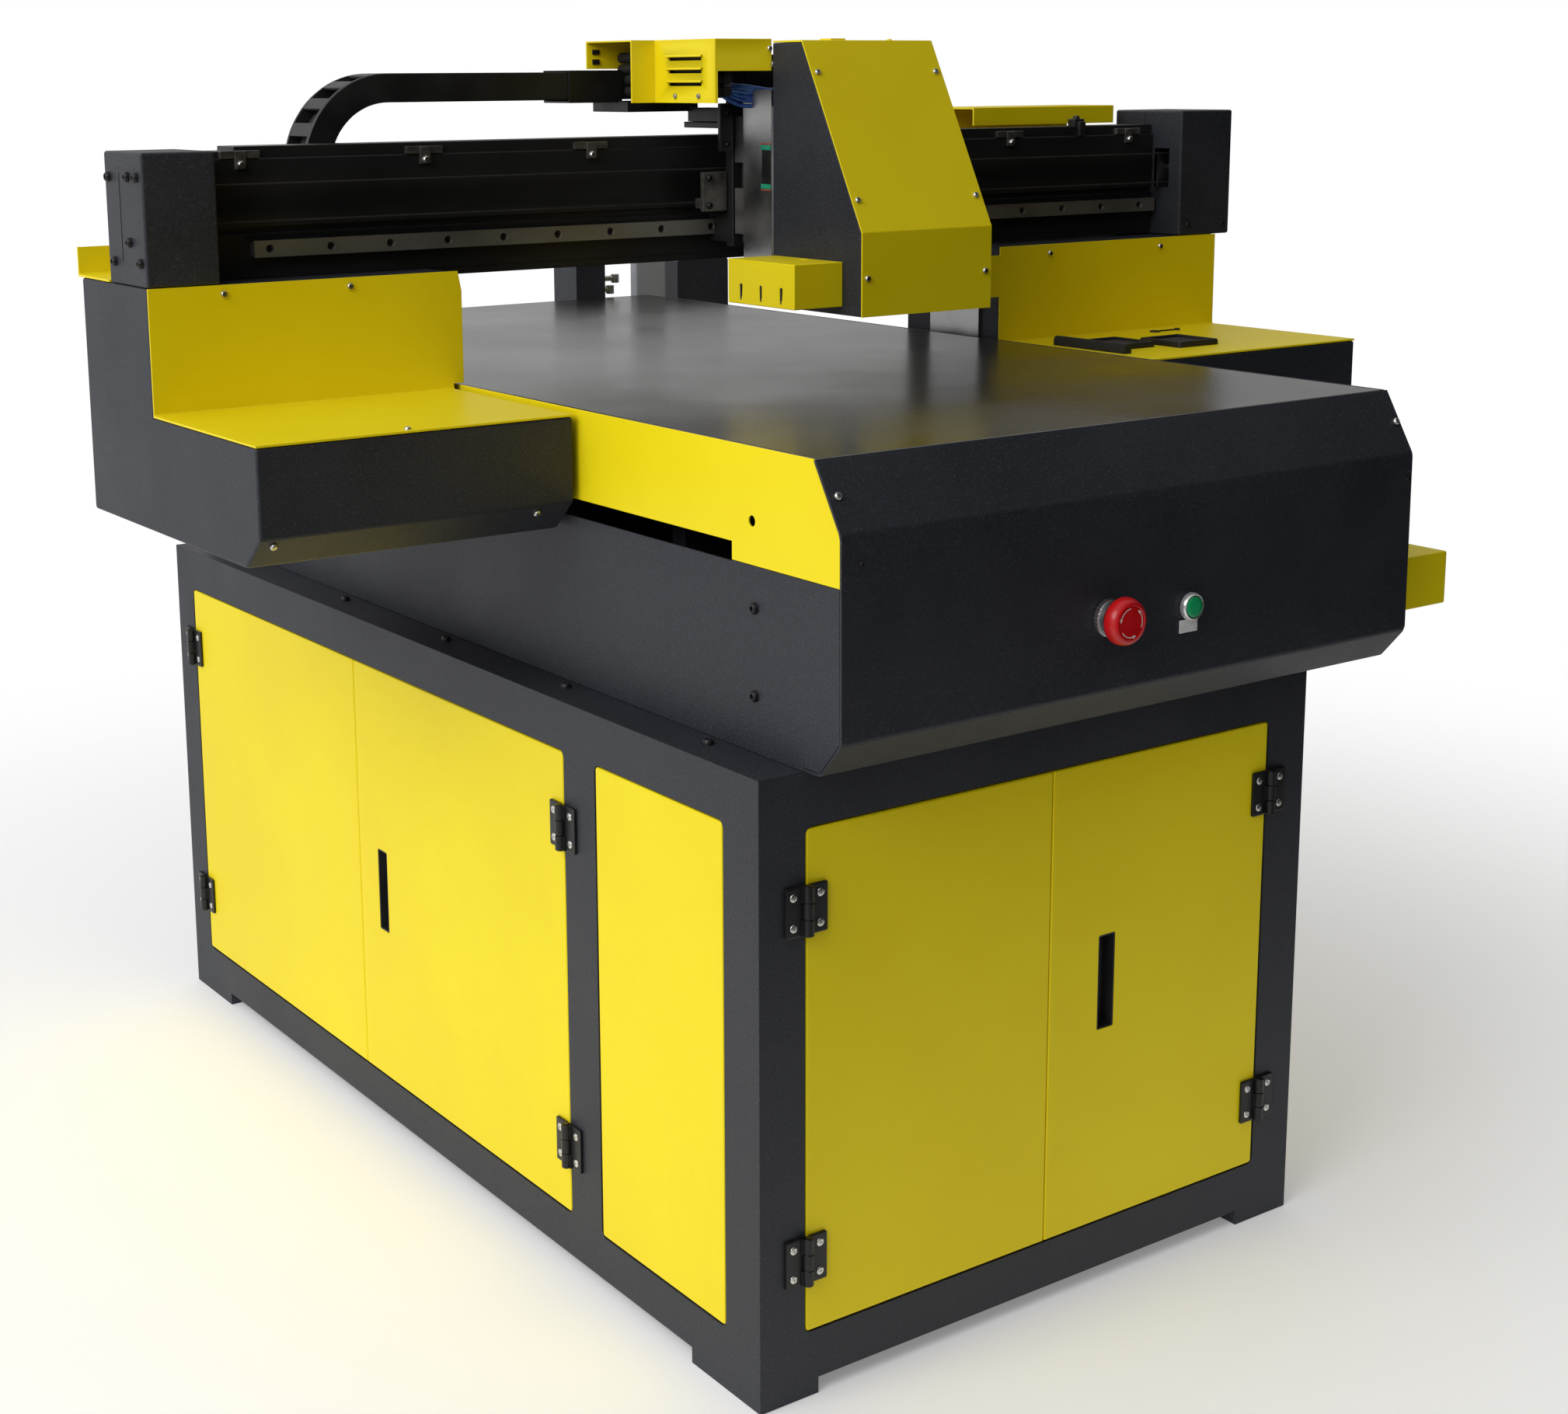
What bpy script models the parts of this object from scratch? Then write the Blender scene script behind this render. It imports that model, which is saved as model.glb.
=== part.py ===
"""Flatbed UV printer: cabinet, fixed bed, moving gantry, carriage, lifting print head and cable chain.

Units are metres, +Z is up, the operator stands at -Y and looks along +Y. The origin is on the floor, under
the middle of the machine. Each object is one piece of the printer.
"""

import math

import bmesh
import bpy
from mathutils import Matrix, Vector

MM = 0.001
GAP = 0.3  # clearance between pieces that touch, in mm

# Driving dimensions, in millimetres.
CAB_X = (-403.0, 213.0)
CAB_Y = (-587.0, 561.0)
CAB_TOP = 532.0
FOOT = 14.0
BODY_X = (-361.0, 285.0)
BODY_BACK = 561.0
TABLE_TOP = 778.0
SHEET = 2.0
FRONT_Z = (58.5, 485.0)
FRONT_X = (-357.0, -97.0, 164.0)
SIDE_Z = (56.5, 486.5)
SIDE_Y = (-298.0, 108.0, 515.0)
NARROW_Y = (-538.0, -351.0)
SLOT_Z = (683.0, 699.0)
SLOT_Y = -494.0
TOP_LEFT, TOP_RIGHT = 884.0, 875.0
STEP_LEFT, STEP_RIGHT = 775.0, 771.0
HOUSING_LEFT = (-661.0, -368.0)
HOUSING_RIGHT = (307.0, 639.0)
PANEL_Y = -57.0
BEAM_Y = (-12.0, 28.0)
BEAM_Z = (884.5, 1001.0)
BEAM_X = (-593.7, 578.7)
HEAD_X = (-53.0, 105.0)
TRAY_Y = (28.3, 110.0)
CHAIN_Y = (38.0, 84.0)
CHAIN_CENTRE = (-378.0, 975.5)
CHAIN_RADII = (61.5, 88.5)
PULLEY_R = 15.0
PULLEY_Z = 952.0
ESTOP = (-88.0, -636.0, 626.0)
BUTTON = (6.5, -636.0, 622.5)
HINGE_Z = (123.0, 420.0)
DOOR_T = 20.0
HINGE_OFFSET = 1.5
HINGE_PROUD = 5.0
HINGE_HEIGHT = 41.0
BACK_SHELF = 664.0

for old in list(bpy.data.objects):
    bpy.data.objects.remove(old, do_unlink=True)


def material(name, colour, roughness, metallic=0.0):
    made = bpy.data.materials.new(name)
    made.use_nodes = True
    shader = made.node_tree.nodes["Principled BSDF"]
    shader.inputs["Base Color"].default_value = (*colour, 1.0)
    shader.inputs["Roughness"].default_value = roughness
    shader.inputs["Metallic"].default_value = metallic
    return made


YELLOW = material("yellow_powder_coat", (0.80, 0.62, 0.02), 0.42)
DARK = material("dark_powder_coat", (0.020, 0.022, 0.027), 0.55)
BLACK = material("black_plastic", (0.010, 0.010, 0.011), 0.45)
BLACK_METAL = material("black_anodised", (0.012, 0.012, 0.013), 0.35, 0.4)
ALUMINIUM = material("aluminium", (0.55, 0.56, 0.58), 0.35, 1.0)
STEEL = material("steel", (0.45, 0.45, 0.46), 0.28, 1.0)
TABLE = material("table_aluminium", (0.30, 0.30, 0.31), 0.30, 0.9)
RED = material("red_plastic", (0.55, 0.01, 0.015), 0.30)
GREEN = material("green_plastic", (0.01, 0.35, 0.09), 0.35)
RUBBER = material("rubber", (0.012, 0.012, 0.012), 0.75)
BLUE = material("blue_tube", (0.01, 0.05, 0.45), 0.30)
TANK = material("ink_tank_plastic", (0.35, 0.36, 0.38), 0.45)


def finish(mesh, name, mat, pivot, smooth):
    """Links a bmesh made in millimetres as an object whose origin is at pivot."""
    origin = Vector(pivot)
    bmesh.ops.translate(mesh, verts=mesh.verts, vec=-origin)
    bmesh.ops.scale(mesh, verts=mesh.verts, vec=(MM, MM, MM))
    bmesh.ops.recalc_face_normals(mesh, faces=mesh.faces)
    data = bpy.data.meshes.new(name)
    mesh.to_mesh(data)
    mesh.free()
    data.materials.append(mat)
    made = bpy.data.objects.new(name, data)
    made.location = origin * MM
    bpy.context.scene.collection.objects.link(made)
    if smooth:
        data.shade_smooth()
        data.set_sharp_from_angle(angle=math.radians(35))
    return made


def box(name, x, y, z, mat=DARK, pivot=None):
    mesh = bmesh.new()
    bmesh.ops.create_cube(mesh, size=1.0)
    size = Vector((x[1] - x[0], y[1] - y[0], z[1] - z[0]))
    middle = Vector((sum(x), sum(y), sum(z))) / 2
    bmesh.ops.scale(mesh, verts=mesh.verts, vec=size)
    bmesh.ops.translate(mesh, verts=mesh.verts, vec=middle)
    return finish(mesh, name, mat, pivot or middle, False)


def prism(name, outline, along, span, mat=DARK, pivot=None, smooth=False):
    """Extrudes an outline along axis 0, 1 or 2; its points give the other two axes in order."""
    mesh = bmesh.new()
    others = [axis for axis in range(3) if axis != along]
    verts = []
    for a, b in outline:
        point = [0.0, 0.0, 0.0]
        point[others[0]], point[others[1]], point[along] = a, b, span[0]
        verts.append(mesh.verts.new(point))
    face = mesh.faces.new(verts)
    side = bmesh.ops.extrude_face_region(mesh, geom=[face])
    moved = [item for item in side["geom"] if isinstance(item, bmesh.types.BMVert)]
    shift = [0.0, 0.0, 0.0]
    shift[along] = span[1] - span[0]
    bmesh.ops.translate(mesh, verts=moved, vec=shift)
    return finish(mesh, name, mat, pivot or verts_middle(mesh), smooth)


def verts_middle(mesh):
    low = Vector([min(v.co[axis] for v in mesh.verts) for axis in range(3)])
    high = Vector([max(v.co[axis] for v in mesh.verts) for axis in range(3)])
    return (low + high) / 2


def rod(name, centre, radius, length, along, mat=STEEL, sides=24, top_radius=None):
    """A cylinder or cone round an axis through its centre."""
    mesh = bmesh.new()
    end = radius if top_radius is None else top_radius
    bmesh.ops.create_cone(
        mesh, cap_ends=True, segments=sides, radius1=radius, radius2=end, depth=length
    )
    turn = {0: Matrix.Rotation(math.pi / 2, 3, "Y"), 1: Matrix.Rotation(math.pi / 2, 3, "X")}
    if along in turn:
        bmesh.ops.rotate(mesh, verts=mesh.verts, matrix=turn[along])
    bmesh.ops.translate(mesh, verts=mesh.verts, vec=centre)
    return finish(mesh, name, mat, centre, True)


def arc(centre, radius, start, stop, steps):
    """Points on an arc, angles in degrees."""
    points = []
    for step in range(steps + 1):
        angle = math.radians(start + (stop - start) * step / steps)
        points.append((centre[0] + radius * math.cos(angle), centre[1] + radius * math.sin(angle)))
    return points


def rounded(a, b, corner):
    """A rectangle a[0]..a[1] by b[0]..b[1] with round corners."""
    points = []
    for u, v, start in ((a[1], b[1], 0), (a[0], b[1], 90), (a[0], b[0], 180), (a[1], b[0], 270)):
        centre_u = u - corner if start in (0, 270) else u + corner
        centre_v = v - corner if start < 180 else v + corner
        centre = (centre_u, centre_v)
        points += arc(centre, corner, start, start + 90, 4)
    return points


def boolean(target, tools, operation):
    for tool in tools:
        tool.hide_render = True
        tool.display_type = "WIRE"
        modifier = target.modifiers.new(operation.lower(), "BOOLEAN")
        modifier.operation = operation
        modifier.solver = "EXACT"
        modifier.object = tool
    return target


def cut(target, *tools):
    return boolean(target, tools, "DIFFERENCE")


def join(target, *tools):
    return boolean(target, tools, "UNION")


# ---------------------------------------------------------------- cabinet


def cabinet_frame():
    """Welded frame: skirting, posts, rails and top sheet, open behind each door and panel."""
    frame = box("cabinet_frame", CAB_X, CAB_Y, (FOOT, CAB_TOP), DARK)
    inside = box(
        "cabinet_inside_cut",
        (CAB_X[0] + 34, CAB_X[1] - 34),
        (CAB_Y[0] + 34, CAB_Y[1] - 34),
        (FOOT + 30, CAB_TOP - 6),
    )
    front = prism(
        "front_opening_cut",
        rounded((FRONT_X[0] - 1.5, FRONT_X[2] + 1.5), (FRONT_Z[0] - 1.5, FRONT_Z[1] + 1.5), 7),
        1,
        (CAB_Y[0] - 10, CAB_Y[0] + 50),
    )
    side = prism(
        "side_opening_cut",
        rounded((SIDE_Y[0] - 1.5, SIDE_Y[2] + 1.5), (SIDE_Z[0] - 1.5, SIDE_Z[1] + 1.5), 7),
        0,
        (CAB_X[0] - 10, CAB_X[0] + 50),
    )
    narrow = prism(
        "narrow_opening_cut",
        rounded((NARROW_Y[0] - 1.5, NARROW_Y[1] + 1.5), (SIDE_Z[0] - 1.5, SIDE_Z[1] + 1.5), 7),
        0,
        (CAB_X[0] - 10, CAB_X[0] + 50),
    )
    right = prism(
        "right_opening_cut",
        rounded((NARROW_Y[0] - 1.5, SIDE_Y[2] + 1.5), (SIDE_Z[0] - 1.5, SIDE_Z[1] + 1.5), 7),
        0,
        (CAB_X[1] - 50, CAB_X[1] + 10),
    )
    cut(frame, inside, front, side, narrow, right)
    feet = []
    for x, wide in ((CAB_X[0], 59), (CAB_X[1] - 67, 67)):
        for y in (CAB_Y[0], CAB_Y[1] - 98):
            feet.append(box("foot_join", (x, x + wide), (y, y + 98), (0, FOOT + 2)))
    return join(frame, *feet)


def door(name, axis, face, span, z, slot, hinge_side):
    """A flush door of folded sheet with rounded outer corners, its hinge leaves and its finger slot."""
    wide = (span[0] + (0.5 if hinge_side > 0 else 0), span[1] - (0.5 if hinge_side < 0 else 0))
    outline = []
    corner = 6.0
    for u, v, start in ((1, 1, 0), (0, 1, 90), (0, 0, 180), (1, 0, 270)):
        outer = (hinge_side > 0) == (u == 1)
        radius = corner if outer else 1.0
        centre = (wide[u] + (-radius if u else radius), z[v] + (-radius if v else radius))
        outline += arc(centre, radius, start, start + 90, 4)
    hinge_at = wide[1] if hinge_side > 0 else wide[0]
    pivot = [0.0, 0.0, 0.0]
    pivot[axis] = face - HINGE_PROUD
    pivot[1 - axis] = hinge_at + hinge_side * HINGE_OFFSET
    leaf = prism(name, outline, axis, (face, face + DOOR_T), YELLOW, pivot)
    pocket_u = (wide[0] + 22, wide[1] - 22)
    pocket = [pocket_u, pocket_u]
    pocket[axis] = (face + SHEET, face + DOOR_T + 5)
    cut(leaf, box(name + "_pocket_cut", pocket[0], pocket[1], (z[0] + 22, z[1] - 22)))
    for low in HINGE_Z:
        inner = (hinge_at - hinge_side * 20, hinge_at + hinge_side * (HINGE_OFFSET - 5.6))
        place = [tuple(sorted(inner)), tuple(sorted(inner))]
        place[axis] = (face - 3.2, face + 0.6)
        half = HINGE_HEIGHT / 2
        join(leaf, box(name + "_leaf_join", place[0], place[1], (low - half, low + half)))
    if slot:
        opening = [slot[0], slot[0]]
        opening[axis] = (face - 10, face + DOOR_T + 5)
        cut(leaf, box(name + "_slot_cut", opening[0], opening[1], slot[1]))
    return leaf


def hinge(name, axis, face, hinge_at, side, low):
    """The fixed half of a butt hinge: a leaf screwed to the frame, its knuckle and its pin."""
    across = (hinge_at + side * (HINGE_OFFSET - 1), hinge_at + side * (HINGE_OFFSET + 20))
    place = [tuple(sorted(across)), tuple(sorted(across))]
    place[axis] = (face - 3.2, face - GAP)
    half = HINGE_HEIGHT / 2
    leaf = box(name, place[0], place[1], (low - half, low + half), BLACK)
    centre = [0.0, 0.0, low]
    centre[axis] = face - HINGE_PROUD
    centre[1 - axis] = hinge_at + side * HINGE_OFFSET
    return join(leaf, rod(name + "_pin_join", centre, 4.6, HINGE_HEIGHT + 1, 2, BLACK, 16))


def doors():
    front = CAB_Y[0]
    side = CAB_X[0]
    door("front_door_left", 1, front, (FRONT_X[0], FRONT_X[1]), FRONT_Z, None, -1)
    door("front_door_right", 1, front, (FRONT_X[1], FRONT_X[2]), FRONT_Z, ((-40, -20), (240, 327)), 1)
    door("side_door_front", 0, side, (SIDE_Y[0], SIDE_Y[1]), SIDE_Z, ((47, 67), (215, 300)), -1)
    door("side_door_rear", 0, side, (SIDE_Y[1], SIDE_Y[2]), SIDE_Z, None, 1)
    for place, low in zip(("lower", "upper"), HINGE_Z):
        hinge("hinge_front_left_" + place, 1, front, FRONT_X[0], -1, low)
        hinge("hinge_front_right_" + place, 1, front, FRONT_X[2], 1, low)
        hinge("hinge_side_front_" + place, 0, side, SIDE_Y[0], -1, low)
        hinge("hinge_side_rear_" + place, 0, side, SIDE_Y[2], 1, low)


def fixed_panels():
    """Screwed-in panels: the narrow one beside the side doors and the long one on the right."""
    narrow = prism("narrow_panel", rounded(NARROW_Y, SIDE_Z, 6), 0, (CAB_X[0], CAB_X[0] + 18), YELLOW)
    back = box(
        "narrow_pocket_cut",
        (CAB_X[0] + SHEET, CAB_X[0] + 30),
        (NARROW_Y[0] + 16, NARROW_Y[1] - 16),
        (SIDE_Z[0] + 16, SIDE_Z[1] - 16),
    )
    cut(narrow, back)
    long_y = (NARROW_Y[0], SIDE_Y[2])
    right = prism("right_panel", rounded(long_y, SIDE_Z, 6), 0, (CAB_X[1] - 18, CAB_X[1]), YELLOW)
    hollow = box(
        "right_pocket_cut",
        (CAB_X[1] - 30, CAB_X[1] - SHEET),
        (long_y[0] + 16, long_y[1] - 16),
        (SIDE_Z[0] + 16, SIDE_Z[1] - 16),
    )
    cut(right, hollow)


def control_box():
    """Electrical enclosure that stands on the cabinet floor: power supplies, drives and main board."""
    base = FOOT + 30 + GAP
    case = box("control_box", (-250, 110), (160, 420), (base, base + 260), ALUMINIUM)
    cover = box("control_lid_join", (-256, 116), (154, 426), (base + 250, base + 268))
    return join(case, cover)


# ---------------------------------------------------------------- bed


def bed_frame():
    """Two side beams and five cross ribs that carry the table."""
    low = CAB_TOP + GAP
    frame = box("bed_frame", (-345, -285), (-580, 550), (low, 640), DARK)
    pieces = [box("beam_join", (209, 269), (-580, 550), (low, 640))]
    for y in (-560, -290, -20, 250, 520):
        pieces.append(box("rib_join", (-300, 224), (y - 10, y + 10), (low, 640)))
        pieces.append(box("rib_top_join", (-275, 199), (y - 10, y + 10), (630, 769.5)))
    return join(frame, *pieces)


def bed_table():
    wide = (BODY_X[0] + 3.3, BODY_X[1] - 3.3)
    table = box("bed_table", wide, (-600.4, 605), (770, TABLE_TOP), TABLE)
    bevel = table.modifiers.new("edge", "BEVEL")
    bevel.width = 1.0 * MM
    bevel.segments = 1
    return table


COVER = [(-603, 778), (-635, 724), (-636, 563), (-610, 533), (-588, 533)]


def front_cover():
    """Folded sheet: slanted top, upright face with the controls, chamfered lower edge."""
    inner = [(-601, 776.6), (-633, 723.4), (-634, 563.8), (-609.2, 535), (-588, 535)]
    cover = prism("front_cover", COVER + inner[::-1], 0, BODY_X, DARK)
    holes = (
        rod("estop_hole_cut", ESTOP, 11.3, 30, 1),
        rod("button_hole_cut", BUTTON, 9.3, 30, 1),
    )
    return cut(cover, *holes)


def side_sheets():
    """Side sheets of the bed with the long slots in which the gantry arms run."""
    x = (BODY_X[0], BODY_X[0] + SHEET)
    low = CAB_TOP + GAP
    lower = [(-632.8, 683.7), (-633.6, 564.2), (-608.8, 535.5), (-587.5, 535.5), (-587.5, low)]
    lower += [(BODY_BACK, low), (BODY_BACK, SLOT_Z[0]), (SLOT_Y, SLOT_Z[0]), (SLOT_Y, 683.7)]
    prism("side_plate_left", lower, 0, x, DARK)
    upper = [(-600.6, 775.9), (-632.6, 723.2), (-632.8, 684), (SLOT_Y, 684), (SLOT_Y, SLOT_Z[1])]
    upper += [(BODY_BACK, SLOT_Z[1]), (BODY_BACK, TABLE_TOP), (-600.5, TABLE_TOP)]
    trim = prism("side_trim_left", upper, 0, x, YELLOW)
    cut(trim, rod("trim_hole_cut", (BODY_X[0], -521, 719), 4.5, 20, 0, STEEL, 16))
    right = [(-633.6, 564.2), (-608.8, 535.5), (-587.5, 535.5), (-587.5, low), (BODY_BACK, low)]
    right += [(BODY_BACK, SLOT_Z[0]), (SLOT_Y, SLOT_Z[0]), (SLOT_Y, SLOT_Z[1]), (BODY_BACK, SLOT_Z[1])]
    right += [(BODY_BACK, TABLE_TOP), (-600.5, TABLE_TOP), (-600.6, 775.9), (-632.6, 723.2)]
    prism("side_plate_right", right, 0, (BODY_X[1] - SHEET, BODY_X[1]), DARK)


def rear_plate():
    """Sheet that closes the bed at the back, with the tank shelf, its cheeks and the pump and drive boxes."""
    low = CAB_TOP + GAP
    plate = box("rear_plate", BODY_X, (BODY_BACK + GAP, BODY_BACK + 3), (low, 769), DARK)
    shelf = box("shelf_join", (-320, 415), (BODY_BACK + 1, BACK_SHELF), (676, 680))
    lip = box("shelf_lip_join", (-320, 415), (BACK_SHELF - 3, BACK_SHELF), (677, 704))
    pump = box("pump_box_join", (173, 217), (606, 662), (679, 826))
    outline = [(330, 679), (412, 679), (412, 818), (402, 828), (340, 828), (330, 818)]
    drive = prism("drive_box_join", outline, 1, (606, 650))
    cheeks = []
    for x in (-320, 282):
        outline = [(BODY_BACK + 1, 560), (BACK_SHELF, 678), (BODY_BACK + 1, 678)]
        cheeks.append(prism("cheek_join", outline, 0, (x, x + 3)))
    return join(plate, shelf, lip, pump, drive, *cheeks)


def ink_tanks():
    """Ink and flush tanks in one moulded rack, with their caps."""
    base = 680 + GAP
    rack = box("ink_tanks", (-300, 312), (568, 586), (base, base + 24), TANK)
    pieces = [box("rack_join", (-300, 98), (575, 655), (base, base + 24))]
    for index in range(5):
        x = -296 + index * 79
        pieces.append(box("tank_join", (x, x + 70), (580, 650), (base + 20, 735)))
        pieces.append(rod("cap_join", (x + 35, 615, 743), 21, 24, 2, TANK, 20))
    pieces.append(box("flush_foot_join", (265, 312), (575, 622), (base, base + 24)))
    pieces.append(box("flush_tank_join", (265, 312), (606, 622), (base, 862)))
    return join(rack, *pieces)


def y_drive():
    """Rails on the side beams and the motor that drives the gantry."""
    for name, x in (("y_rail_left", -315.0), ("y_rail_right", 239.0)):
        outline = [(x - 7.5, 640.3), (x + 7.5, 640.3), (x + 7.5, 645), (x + 5, 648), (x + 7.5, 651)]
        outline += [(x + 7.5, 654), (x - 7.5, 654), (x - 7.5, 651), (x - 5, 648), (x - 7.5, 645)]
        prism(name, outline, 1, (-575, 545), STEEL)
    motor = box("y_motor", (-66, -10), (400, 480), (546, 602), BLACK)
    shaft = rod("shaft_join", (-38, 386, 574), 4, 40, 1, STEEL, 16)
    foot = box("motor_foot_join", (-80, 4), (405, 475), (CAB_TOP + GAP, 548))
    return join(motor, foot, shaft)


def cable_duct():
    """Closed sheet duct along the right side for the cables of the gantry."""
    duct = box("cable_duct", (BODY_X[1] + GAP, 384), (-602, 540), (568, 618), YELLOW)
    hollow = box("duct_hollow_cut", (BODY_X[1] + 2, 382), (-600, 560), (570, 616))
    return cut(duct, hollow)


def controls():
    """Emergency stop and start button on the front cover."""
    x, y, z = ESTOP
    collar = rod("estop_collar", (x, y - 4.6 - GAP, z), 16, 9.2, 1, ALUMINIUM, 32)
    barrel = rod("estop_barrel_join", (x, y + 12, z), 11, 36, 1)
    join(collar, barrel)
    cut(collar, rod("estop_bore_cut", (x, y - 5, z), 8, 60, 1))
    head = rod("estop_head", (x, y - 21, z), 20, 14, 1, RED, 40)
    edge = head.modifiers.new("edge", "BEVEL")
    edge.width = 4 * MM
    edge.segments = 3
    edge.angle_limit = math.radians(50)
    join(head, rod("estop_stem_join", (x, y - 2, z), 7.5, 30, 1, RED))
    x, y, z = BUTTON
    bezel = rod("button_bezel", (x, y - 3 - GAP, z), 12, 6, 1, STEEL, 32)
    join(bezel, rod("button_barrel_join", (x, y + 10, z), 9, 30, 1))
    bore = rod("button_bore_cut", (x, y, z), 7.3, 80, 1)
    seat = rod("button_seat_cut", (x, y - 5, z), 9.6, 8, 1)
    cut(bezel, bore, seat)
    cap = rod("start_button", (x, y - 5, z), 9, 4, 1, GREEN, 32)
    join(cap, rod("button_stem_join", (x, y + 6, z), 6.5, 24, 1, GREEN))


# ---------------------------------------------------------------- gantry


def housing_outline(step, top, grow=0.0):
    """Side view of a gantry housing: low step in front, tall part under the beam."""
    g = grow
    under = step - 2 - GAP - g
    return [
        (-268 + g, under),
        (-268 + g, 698 + g * 0.41),
        (-239 + g * 0.41, 671 + g),
        (101 - g, 671 + g),
        (101 - g, top - g),
        (PANEL_Y + 2 + GAP + g, top - g),
        (PANEL_Y + 2 + GAP + g, under),
    ]


def housing(name, span, inner_x, step, top):
    shell = prism(name, housing_outline(step, top), 0, span, DARK)
    inside = (span[0] + SHEET, span[1] - SHEET)
    hollow = prism(name + "_hollow_cut", housing_outline(step, top, SHEET), 0, inside)
    opening = box(name + "_step_cut", (span[0] + 12, span[1] - 12), (-256, -70), (760, 790))
    arm = box(name + "_arm_cut", (inner_x - 8, inner_x + 8), (-210, 75), (650, 701))
    return cut(shell, hollow, opening, arm)


def step_cover(name, span, step, top):
    """Yellow folded cover: the flat step and the upright panel behind it."""
    outline = [
        (-268, step),
        (-268, step - 2),
        (PANEL_Y + 2, step - 2),
        (PANEL_Y + 2, top),
        (PANEL_Y, top),
        (PANEL_Y, step),
    ]
    return prism(name, outline, 0, span, YELLOW)


def gantry_arm(name, side, rail_x, column_x, top):
    """Cast arm: column under the beam, plate through the side slot, blocks on the rail, face plate at the right."""
    reach = tuple(sorted((column_x, rail_x + side * 21)))
    arm = box(name, reach, (-200, 60), (686.5, 695.5), ALUMINIUM)
    column = (column_x - 35, column_x + 35)
    pieces = [box("column_join", column, (-46, 88), (690, top - SHEET - GAP))]
    block = [(-21, 643), (-8, 643), (-8, 654.5), (8, 654.5), (8, 643), (21, 643), (21, 690), (-21, 690)]
    for y in (-194, -16):
        outline = [(rail_x + across, z) for across, z in block]
        pieces.append(prism("block_join", outline, 1, (y, y + 70)))
    if side < 0:
        edge = HOUSING_RIGHT[0] - GAP
        pieces.append(box("face_plate_join", (edge - 3, edge), (-26, 56), (690, 872)))
    return join(arm, *pieces)


def gantry():
    beam = box("gantry_beam", BEAM_X, BEAM_Y, BEAM_Z, BLACK_METAL)
    across = (BEAM_X[0] - 5, BEAM_X[1] + 5)
    groove = box("beam_groove_cut", across, (BEAM_Y[0] - 5, BEAM_Y[0] + 4), (924, 930))
    ledge = box("beam_ledge_cut", across, (BEAM_Y[0] - 5, BEAM_Y[0] + 3), (990, 1010))
    corner = box("beam_corner_cut", (BEAM_X[0] - 5, -556), (BEAM_Y[0] - 5, BEAM_Y[1] + 5), (997, 1010))
    join(cut(beam, groove, ledge, corner), box("beam_foot_join", (-360, 576), (-11, 27), (877, 888)))
    end_box("end_box_left", (HOUSING_LEFT[0], -594), 30, (TOP_LEFT + GAP, 999), 1)
    end_box("end_box_right", (579, 661), 50, (TOP_RIGHT + GAP, 1017), -1)
    housing("housing_left", HOUSING_LEFT, HOUSING_LEFT[1], STEP_LEFT, TOP_LEFT)
    housing("housing_right", HOUSING_RIGHT, HOUSING_RIGHT[0], STEP_RIGHT, TOP_RIGHT)
    left = step_cover("step_cover_left", HOUSING_LEFT, STEP_LEFT, TOP_LEFT)
    flap = [(-372, TABLE_TOP + 2), (-357.5, TABLE_TOP + 2), (-357.5, 866), (-361, TOP_LEFT), (-372, TOP_LEFT)]
    join(left, prism("cover_flap_join", flap, 1, (PANEL_Y, PANEL_Y + 2)))
    right = step_cover("step_cover_right", HOUSING_RIGHT, STEP_RIGHT, TOP_RIGHT)
    join(right, box("cover_tab_join", (294, 312), (PANEL_Y, PANEL_Y + 2), (821, 866)))
    for x, y, wide, deep in CAPS:
        cut(right, box("cap_hole_cut", (x - 0.4, x + wide + 0.4), (y - 0.4, y + deep + 0.4), (760, 785)))
    gantry_arm("gantry_arm_left", 1, -315.0, -516.0, TOP_LEFT)
    gantry_arm("gantry_arm_right", -1, 239.0, 473.0, TOP_RIGHT)
    capping_station()
    x_drive()


CAPS = ((338.0, -218.0, 10.0, 108.0), (352.0, -190.0, 60.0, 62.0), (424.0, -214.0, 60.0, 62.0))


def end_box(name, x, back, z, inner):
    """Sheet box over a belt pulley, open to the beam side for the belt."""
    shell = box(name, x, (PANEL_Y, back), z, DARK)
    inside = (x[0] + SHEET, x[1] - SHEET)
    hollow = box(name + "_hollow_cut", inside, (PANEL_Y + 2, back - 2), (z[0] + 2, z[1] - 2))
    wall = x[1] if inner > 0 else x[0]
    belt = box(name + "_belt_cut", (wall - 5, wall + 5), (-38, -14), (PULLEY_Z - 22, PULLEY_Z + 22))
    return cut(shell, hollow, belt)


def capping_station():
    """Wiper bar and two cap pads on a base plate under the right step, reaching up through the cover."""
    base = box("capping_station", (330, 500), (-232, -100), (740, 748), BLACK)
    tops = (781, 777, 777)
    pieces = []
    for (x, y, wide, deep), top in zip(CAPS, tops):
        pieces.append(box("cap_join", (x, x + wide), (y, y + deep), (745, top)))
    pieces.append(box("cap_leg_join", (350, 480), (-231, -206), (673.3, 742)))
    return join(base, *pieces)


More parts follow.
